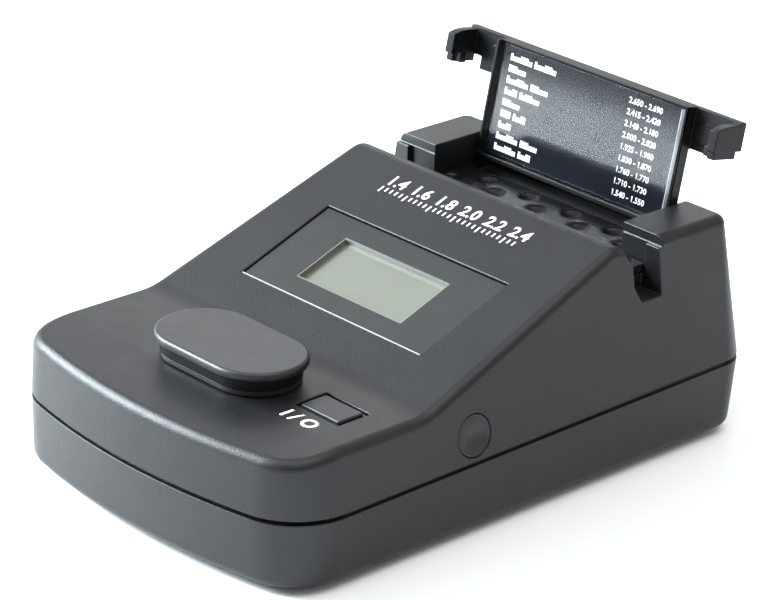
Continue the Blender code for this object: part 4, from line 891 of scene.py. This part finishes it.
def make_battery_door():
    half = BAY_HALF_X - GAP
    lip_x = half + DOOR_LIP
    door = block((-half, DOOR_FRONT, 0.0), (half, CASE_LENGTH + 1.0, DOOR_SPLIT_Z + 0.05),
                 CASE, OUTER)
    steps = join(block((-lip_x, DOOR_FRONT, DOOR_SPLIT_Z),
                       (lip_x, CASE_LENGTH - 2.0, DOOR_TOP_Z), CASE, INNER))
    steps.append(("INTERSECT", lower_form(0.0, BOTTOM_ROUND, OUTER)))
    for row in range(GRIPS):
        place = at(0.0, GRIP_REAR - row * GRIP_PITCH, FLOOR_Z) @ ALONG_X
        steps += cut(rod(GRIP_RADIUS, -GRIP_HALF_X, GRIP_HALF_X, place, CUT, 16))
    piece("battery_door", combine(door, steps), round_by=0.12)


# ---- display, shield, button, plug and tray ----
FRAME_WIDE = 0.3                # the pale edge around the display window, painted light: the display's grey-green seen through the clear plastic
FRAME_SUNK = 0.08
HIGHLIGHT_STRIP = (0.04, -0.9), (GAP - 0.06, 0.02)   # painted highlight along the plate's front edge, a whitish strip: (up, z)


def make_bezel():
    half = BEZEL_WIDTH / 2.0 - GAP
    plate = block((-half, GAP, -BEZEL_DEPTH - BEZEL_THICK),
                  (half, BEZEL_LENGTH - GAP, -BEZEL_DEPTH), SLOPE_PLACE, OUTER)
    window = block((-WINDOW_WIDTH / 2.0, WINDOW_UP, -6.0),
                   (WINDOW_WIDTH / 2.0, WINDOW_UP + WINDOW_LENGTH, 6.0), SLOPE_PLACE)
    piece("display_bezel", combine(plate, cut(window)), BEZEL_BLACK, round_by=0.12)
    # the moulded edge of the clear display window, coloured with painted light, and a painted
    # highlight along the front edge of the plate
    half_x, low, high = WINDOW_WIDTH / 2.0, WINDOW_UP, WINDOW_UP + WINDOW_LENGTH
    frame_block = block((-half_x, low, -1.8), (half_x, high, -BEZEL_DEPTH - FRAME_SUNK),
                        SLOPE_PLACE, OUTER)
    inner = block((FRAME_WIDE - half_x, low + FRAME_WIDE, -6.0),
                  (half_x - FRAME_WIDE, high - FRAME_WIDE, 6.0), SLOPE_PLACE)
    extra("display_frame", combine(frame_block, cut(inner)), "case", LCD_EDGE_PAINTED_LIGHT)
    # a whitish strip along the plate's front edge: painted highlight
    strip = block((-half, *HIGHLIGHT_STRIP[0]), (half, *HIGHLIGHT_STRIP[1]), SLOPE_PLACE, OUTER)
    extra("bezel_edge_highlight", combine(strip, []), "case", PAINTED_HIGHLIGHT)


SHIELD_EDGE = 0.95              # rounding of the cap plate's rim
EDGE_STEPS = 6
CHAMBER_INSET = 3.0
CHAMBER_ROOF = 1.3
KNUCKLE_RADIUS = 1.35
KNUCKLE_BORE = 0.8
KNUCKLE_SPLIT = 5.0             # the shield's lugs turn outside this,
KNUCKLE_HALF_X = 8.6
BASE_KNUCKLE_HALF_X = 4.6       # and the base's own knuckle sits between them
BASE_HALF = 19.15, 10.55
BASE_NECK_HALF = 17.5, 9.0
PLATFORM_SEAT_RADIUS = 7.3
OPTICS_BORE = 6.0


def stadium_rings(levels):
    """Rings of the light shield's stadium at (inset, height) levels."""
    place = at(0.0, SHIELD_D, 0.0)
    rings = []
    for inset, z in levels:
        outline = stadium(SHIELD_HALF_X - inset, SHIELD_HALF_Y - inset, STADIUM_STEPS)
        rings.append([place @ (Vector((x, y, z)) * MM) for x, y in outline])
    return rings


def knuckle(low, high, radius=KNUCKLE_RADIUS, source=CUT):
    return rod(radius, low, high, at(0.0, SHIELD_HINGE_D, SHIELD_HINGE_Z) @ ALONG_X, source)


def make_light_shield():
    """Cap plate on a hollow body whose rear lugs turn on the hinge pin."""
    low, under = BASE_TOP + 0.06, SHIELD_TOP - SHIELD_PLATE
    levels = [(1.6, under - 0.4), (1.35, under - 0.35), (1.05, under), (0.2, under),
              (0.05, under + 0.08), (0.0, under + 0.25)]
    levels += [(SHIELD_EDGE * (1.0 - cos(turn)), SHIELD_TOP - SHIELD_EDGE * (1.0 - sin(turn)))
               for turn in (pi / 2.0 * k / EDGE_STEPS for k in range(EDGE_STEPS + 1))]
    chamber = [(CHAMBER_INSET, low - 1.0), (CHAMBER_INSET, SHIELD_TOP - CHAMBER_ROOF)]
    shape = combine(loft(stadium_rings(levels), INNER),
                    cut(loft(stadium_rings(chamber), INNER)))
    piece("light_shield", shape)
    body = loft(stadium_rings([(1.4, low), (1.36, low + 0.3), (1.33, under - 0.3)]), INNER)
    behind = block((-KNUCKLE_SPLIT, SHIELD_HINGE_D - 1.8, BASE_TOP - 1.0),
                   (KNUCKLE_SPLIT, SHIELD_HINGE_D + 3.0, SHIELD_HINGE_Z + 1.65), CASE, INNER)
    steps = cut(loft(stadium_rings(chamber), INNER), behind)
    steps += join(knuckle(KNUCKLE_SPLIT, KNUCKLE_HALF_X),
                  knuckle(-KNUCKLE_HALF_X, -KNUCKLE_SPLIT))
    steps += cut(knuckle(-10.0, 10.0, KNUCKLE_BORE, INNER))
    # the walls take the darker copy: painted shade under the cap plate
    walls = extra("light_shield_walls", combine(body, steps), "light_shield",
                  SHIELD_WALLS_PAINTED_SHADE)
    walls.data.shade_smooth()
    walls.data.set_sharp_from_angle(angle=SHARP_TURN)


def make_shield_base():
    centre = at(0.0, SHIELD_D, 0.0)
    base = prism(stadium(*BASE_HALF, STADIUM_STEPS), DECK_Z + GAP, BASE_TOP, centre, OUTER)
    half_x = BASE_KNUCKLE_HALF_X
    steps = join(prism(stadium(*BASE_NECK_HALF, STADIUM_STEPS), 29.5, DECK_Z + 0.5, centre,
                       INNER),
                 block((-half_x, SHIELD_D + 9.5, DECK_Z + GAP),
                       (half_x, SHIELD_HINGE_D + KNUCKLE_RADIUS, BASE_TOP), CASE, INNER),
                 block((-half_x, SHIELD_HINGE_D - 1.0, BASE_TOP - 0.4),
                       (half_x, SHIELD_HINGE_D + 1.0, SHIELD_HINGE_Z), CASE, INNER),
                 knuckle(-half_x, half_x, source=INNER))
    steps += cut(knuckle(-6.0, 6.0, KNUCKLE_BORE, INNER),
                 rod(PLATFORM_SEAT_RADIUS, 33.3, 40.0, centre, CUT, 56),
                 rod(OPTICS_BORE, 28.0, 34.0, centre, INNER, 48))
    piece("shield_base", combine(base, steps), round_by=0.10)


RIM_OUT = 0.9                   # the button's hidden rim, which holds it in the case
STEM_RADIUS = 1.9


def make_button():
    half_x, half_d = BUTTON_WIDTH / 2.0, BUTTON_LENGTH / 2.0
    place = at(BUTTON_X, BUTTON_D, 0.0)
    top = block((-half_x, -half_d, 30.4), (half_x, half_d, BUTTON_TOP), place, OUTER)
    rim = block((-half_x - RIM_OUT, -half_d - RIM_OUT, 30.1),
                (half_x + RIM_OUT, half_d + RIM_OUT, 31.3), place, INNER)
    stem = rod(STEM_RADIUS, 14.9, 30.5, place, INNER)
    piece("power_button", combine(top, join(rim, stem)), round_by=0.5, segments=4)


FLANGE_OUT = 1.1
FLANGE_LOW, FLANGE_HIGH = -3.3, -2.35
PLUG_RIM = (0.0, -0.40), (0.10, -0.22), (0.35, -0.15)       # (inset, height) round its edge
DISH_RIM, DISH_LOW, DISH_RISE, DISH_STEPS = 0.35, -1.75, 1.60, 9
PLUG_SIDES = 64


def make_side_plug():
    """A plug with a hollowed face, clipped in from inside by a wider flange."""
    rim, flange = PLUG_RADIUS + PLUG_SNUG, PLUG_RADIUS + FLANGE_OUT
    profile = [(flange, FLANGE_LOW), (flange, FLANGE_HIGH), (rim, FLANGE_HIGH)]
    profile += [(rim - inset, z) for inset, z in PLUG_RIM]
    for step in range(1, DISH_STEPS + 1):
        r = (rim - DISH_RIM) * (1.0 - step / (DISH_STEPS + 0.6))
        profile.append((r, DISH_LOW + DISH_RISE * (r / rim) ** 2))
    turns = [2.0 * pi * k / PLUG_SIDES for k in range(PLUG_SIDES)]
    rings = []
    for r, z in profile:
        rings.append([PLUG_PLACE @ (Vector((r * cos(t), r * sin(t), z)) * MM) for t in turns])
    piece("side_plug", combine(loft(rings, INNER), []))


DIMPLE_ROWS = ((132.0, 4), (126.9, 5), (121.8, 4), (116.7, 5))
DIMPLE_PITCH = 14.3
DIMPLE_RADIUS = 3.1
DIMPLE_BALL = 4.2


BALL_SIDES, BALL_RINGS = 32, 24


def ball(radius, place):
    builder = bmesh.new()
    bmesh.ops.create_uvsphere(builder, u_segments=BALL_SIDES, v_segments=BALL_RINGS,
                              radius=radius * MM)
    return solid("ball", to_mesh(builder, "ball", CUT), place)


def make_gem_tray():
    outline = mirrored([(POCKET_INNER - GAP, CREST_BACK + GAP),
                        (POCKET_INNER - GAP, TOWER_FRONT - GAP),
                        (TOWER_INNER - GAP, TOWER_FRONT - GAP), (TOWER_INNER - GAP, TRAY_REAR)])
    tray = prism(outline, TRAY_Z - TRAY_THICK, TRAY_Z, source=OUTER)
    centre_z = TRAY_Z + sqrt(DIMPLE_BALL ** 2 - DIMPLE_RADIUS ** 2)
    steps = []
    for d, count in DIMPLE_ROWS:
        for column in range(count):
            x = (column - (count - 1) / 2.0) * DIMPLE_PITCH
            steps += cut(ball(DIMPLE_BALL, at(x, d, centre_z)))
    piece("gem_tray", combine(tray, steps), TRAY_BLACK, round_by=0.25)


# ---- chart lid ----
ARM_HALF_X = 40.0               # the bar between its two raised ends
ARM_END_X = 39.0
FRAME_LIP = 0.9                 # the black rim to the left of the clear sheet
HOOK_NOSE = (4.6, 0.0), (2.3, 0.35), (0.0, 1.2)     # its rounded top: (from the tip, down)
CATCH_THICK = 1.9
BOSS_X, BOSS_UP, BOSS_RADIUS = 35.2, 22.0, 2.7
PIN_BORE_ENDS = 29.0, 34.0
CARD_SIDE = 1.3
SHEET_LEFT, SHEET_RIGHT = 1.0, 0.5
SHEET_HIGHLIGHT = 0.48, 0.3          # painted highlight of the clear sheet's cut edge, in from the right


def lid_block(low, high):
    return block(low, high, LID_PLACE, OUTER)


def on_side(side, near, far):
    """Two distances from the middle as low and high X on one side."""
    return sorted((side * near, side * far))


def make_chart_lid():
    panel = lid_block((-LID_HALF_X, PANEL_FRONT, LID_LOW), (LID_HALF_X, PANEL_BACK, BAR_HIGH))
    front = PANEL_FRONT + 0.1
    steps = join(lid_block((-ARM_HALF_X, PANEL_BACK - 0.1, BAR_LOW),
                           (ARM_HALF_X, BAR_BACK, BAR_HIGH)),
                 lid_block((-LID_HALF_X, -LID_AXIS_DEPTH - 0.4, LID_LOW + 0.4),
                           (LID_HALF_X, front, SHEET_LOW - 0.3)),
                 lid_block((-LID_HALF_X, -LID_AXIS_DEPTH, SHEET_LOW - 0.4),
                           (-LID_HALF_X + FRAME_LIP, front, BAR_HIGH)),
                 lid_block((-LID_HALF_X + 0.5, WINDOW_BACK, SHEET_HIGH + 0.15),
                           (LID_HALF_X, front, BAR_HIGH)))
    inside, back = BAR_HALF_X - HOOK_THICK, PANEL_BACK + 0.3
    profile = [(back, HOOK_BODY_LOW), (back, HOOK_HIGH)]
    profile += [(HOOK_TIP + out, HOOK_HIGH - down) for out, down in HOOK_NOSE]
    profile.append((HOOK_TIP, HOOK_BODY_LOW))
    for side in (-1, 1):
        low, high = on_side(side, ARM_END_X, BAR_HALF_X)
        steps += join(lid_block((low, PANEL_BACK - 0.1, HOOK_BODY_LOW),
                                (high, BAR_BACK, BAR_HIGH)))
        low, high = on_side(side, inside, BAR_HALF_X)
        steps += join(prism(profile, low, high, LID_PLACE @ PROFILE, OUTER))
        low, high = on_side(side, inside, BAR_HALF_X - 0.35)
        steps += join(lid_block((low, HOOK_TIP + 0.6, HOOK_LOW),
                                (high, BAR_BACK - 1.5, HOOK_BODY_LOW + 0.2)))
        low, high = on_side(side, inside - CATCH_THICK, inside + 0.2)
        steps += join(lid_block((low, HOOK_TIP + 1.4, HOOK_LOW + 0.15),
                                (high, HOOK_TIP + 3.6, HOOK_LOW + 2.6)))
        boss = Matrix.Translation(Vector((side * BOSS_X, PANEL_BACK, BOSS_UP)) * MM)
        steps += join(rod(BOSS_RADIUS, -0.35, 0.5, LID_PLACE @ boss @ ALONG_Y, OUTER, 48))
        low, high = on_side(side, *PIN_BORE_ENDS)
        steps += cut(rod(PIN_BORE, low, high, LID_PLACE @ ALONG_X, INNER, 24))
    piece("chart_lid", combine(panel, steps), round_by=0.22, segments=2)
    card = lid_block((CARD_SIDE - LID_HALF_X, WINDOW_BACK + 0.1, SHEET_LOW + 0.1),
                     (LID_HALF_X - CARD_SIDE, PANEL_FRONT - 0.1, SHEET_HIGH - 0.2))
    piece("chart_card", combine(card, []), round_by=0.05, segments=1)
    sheet = lid_block((SHEET_LEFT - LID_HALF_X, -LID_AXIS_DEPTH, SHEET_LOW),
                      (LID_HALF_X - SHEET_RIGHT, WINDOW_BACK, SHEET_HIGH))
    piece("chart_window", combine(sheet, []), round_by=0.06, segments=2)
    # a whitish strip just inside the sheet's right edge: painted highlight of its cut edge
    edge = lid_block((LID_HALF_X - SHEET_HIGHLIGHT[0], -LID_AXIS_DEPTH + 0.1, SHEET_LOW + 0.1),
                     (LID_HALF_X - SHEET_HIGHLIGHT[1], WINDOW_BACK - 0.05, SHEET_HIGH - 0.1))
    extra("window_edge_highlight", combine(edge, []), "chart_lid", PAINTED_HIGHLIGHT)


# ---- printing: plain numbers, marks and rows of bars, all generic ----
FACE_FRONT = Matrix.Rotation(pi / 2.0, 4, "X")
INK_THICK = 0.012
INK_LIFT = 0.02                 # the print stands this far above its surface
CURVE_STEPS = 3


def printed_text(text, size, x, y, anchor, bolder):
    """Outlines of a short run of figures as a flat mesh in its own XY, in millimetres."""
    curve = bpy.data.curves.new("figures", "FONT")
    curve.body = text
    curve.size = size * MM
    curve.align_x = anchor
    curve.resolution_u = CURVE_STEPS
    curve.offset = bolder * MM
    holder = bpy.data.objects.new("figures", curve)
    WORKSHOP.objects.link(holder)
    graph = bpy.context.evaluated_depsgraph_get()
    mesh = bpy.data.meshes.new_from_object(holder.evaluated_get(graph))
    mesh.transform(Matrix.Translation(Vector((x, y, 0.0)) * MM))
    bpy.data.objects.remove(holder, do_unlink=True)
    return mesh


def printed_bar(x, y, width, height):
    corners = [(x, y), (x + width, y), (x + width, y + height), (x, y + height)]
    mesh = bpy.data.meshes.new("bar")
    mesh.from_pydata([(a * MM, b * MM, 0.0) for a, b in corners], [], [(0, 1, 2, 3)])
    return mesh


STROKE_TALL = (1.75, 1.2, 1.2, 1.7, 1.2, 1.2, 1.7)
STROKE_WIDE = (0.95, 0.8, 0.7, 0.45, 0.85, 0.75, 0.4)
STROKE_GAP = 0.16
WORD_GAP = 0.75


def printed_words(x, y, words):
    """Rows of plain strokes that stand for unreadable small print."""
    marks = []
    for word in words:
        for k in range(word):
            wide = STROKE_WIDE[(k + word) % len(STROKE_WIDE)]
            tall = STROKE_TALL[0] if k == 0 else STROKE_TALL[(k * 3 + word) % len(STROKE_TALL)]
            marks.append(printed_bar(x, y, wide, tall))
            x += wide + STROKE_GAP
        x += WORD_GAP
    return marks


def printed(name, meshes, place, body, finish):
    """Ink as one thin solid layer on a surface."""
    builder = bmesh.new()
    for mesh in meshes:
        builder.from_mesh(mesh)
    bmesh.ops.remove_doubles(builder, verts=builder.verts, dist=WELD)
    mesh = bpy.data.meshes.new(name)
    builder.to_mesh(mesh)
    builder.free()
    mesh.transform(place)
    layer = extra(name, mesh, body, finish).modifiers.new("ink", "SOLIDIFY")
    layer.thickness = INK_THICK * MM
    layer.offset = -1.0


CHART_ROWS = (("2.650 - 2.690", (9, 9)), ("2.415 - 2.420", (7,)), ("2.140 - 2.180", (9, 7)),
              ("2.000 - 2.020", (5, 8)), ("1.925 - 1.980", (7,)), ("1.830 - 1.870", (4, 5)),
              ("1.760 - 1.770", (5,)), ("1.710 - 1.730", (9, 7)), ("1.540 - 1.550", (9, 5)))
CHART_TOP = 23.5
CHART_PITCH = 2.87
CHART_LEFT = -26.8
CHART_RIGHT = 24.1
CHART_SIZE, CHART_UP, CHART_BOLD = 2.05, 0.45, 0.05
CHART_LIFT = 0.07               # the ink of the chart lies in the clear sheet


def make_chart_print():
    marks = []
    for row, (figures, words) in enumerate(CHART_ROWS):
        y = CHART_TOP - row * CHART_PITCH
        marks += printed_words(CHART_LEFT, y, words)
        marks.append(printed_text(figures, CHART_SIZE, CHART_RIGHT, y + CHART_UP, "RIGHT",
                                  CHART_BOLD))
    place = Matrix.Translation((0.0, (WINDOW_BACK + CHART_LIFT) * MM, 0.0)) @ FACE_FRONT
    printed("chart_print", marks, LID_PLACE @ place, "chart_lid", PRINT_WHITE)


SCALE_FIRST, SCALE_STEP, SCALE_FIGURES = 1.4, 0.2, 6
SCALE_LEFT, SCALE_PITCH, SCALE_UP, SCALE_SIZE, SCALE_BOLD = -21.3, 8.3, 42.7, 5.0, 0.10
TICKS, TICK_LEFT, TICK_PITCH, TICK_TOP, TICK_WIDE = 28, -23.9, 1.66, 41.6, 0.42
TICK_LONG, TICK_SHORT, TICK_LONG_EVERY = 2.1, 1.4, 5


def make_slope_print():
    """A plain index scale above the display."""
    marks = []
    for step in range(SCALE_FIGURES):
        figures = format(SCALE_FIRST + step * SCALE_STEP, ".1f")
        marks.append(printed_text(figures, SCALE_SIZE, SCALE_LEFT + step * SCALE_PITCH,
                                  SCALE_UP, "CENTER", SCALE_BOLD))
    for step in range(TICKS):
        tall = TICK_SHORT if step % TICK_LONG_EVERY else TICK_LONG
        marks.append(printed_bar(TICK_LEFT + step * TICK_PITCH, TICK_TOP - tall, TICK_WIDE,
                                 tall))
    place = SLOPE_PLACE @ Matrix.Translation((0.0, 0.0, INK_LIFT * MM))
    printed("slope_print", marks, place, "case", PRINT_WHITE)


MARK_LEFT, MARK_D, MARK_SIZE, MARK_BOLD = 0.4, 21.8, 5.4, 0.16


def make_deck_print():
    """The usual on and off marks in front of the power button."""
    marks = [printed_text("I / O", MARK_SIZE, BUTTON_X - MARK_LEFT, MARK_D, "CENTER",
                          MARK_BOLD)]
    place = at(0.0, 0.0, DECK_Z + INK_LIFT)
    printed("deck_print", marks, place, "case", PRINT_WHITE)


make_upper_case()
make_lower_case()
make_battery_door()
make_bezel()
make_light_shield()
make_shield_base()
make_button()
make_side_plug()
make_gem_tray()
make_chart_lid()
make_chart_print()
make_slope_print()
make_deck_print()
bpy.data.collections.remove(WORKSHOP)
bpy.context.view_layer.update()
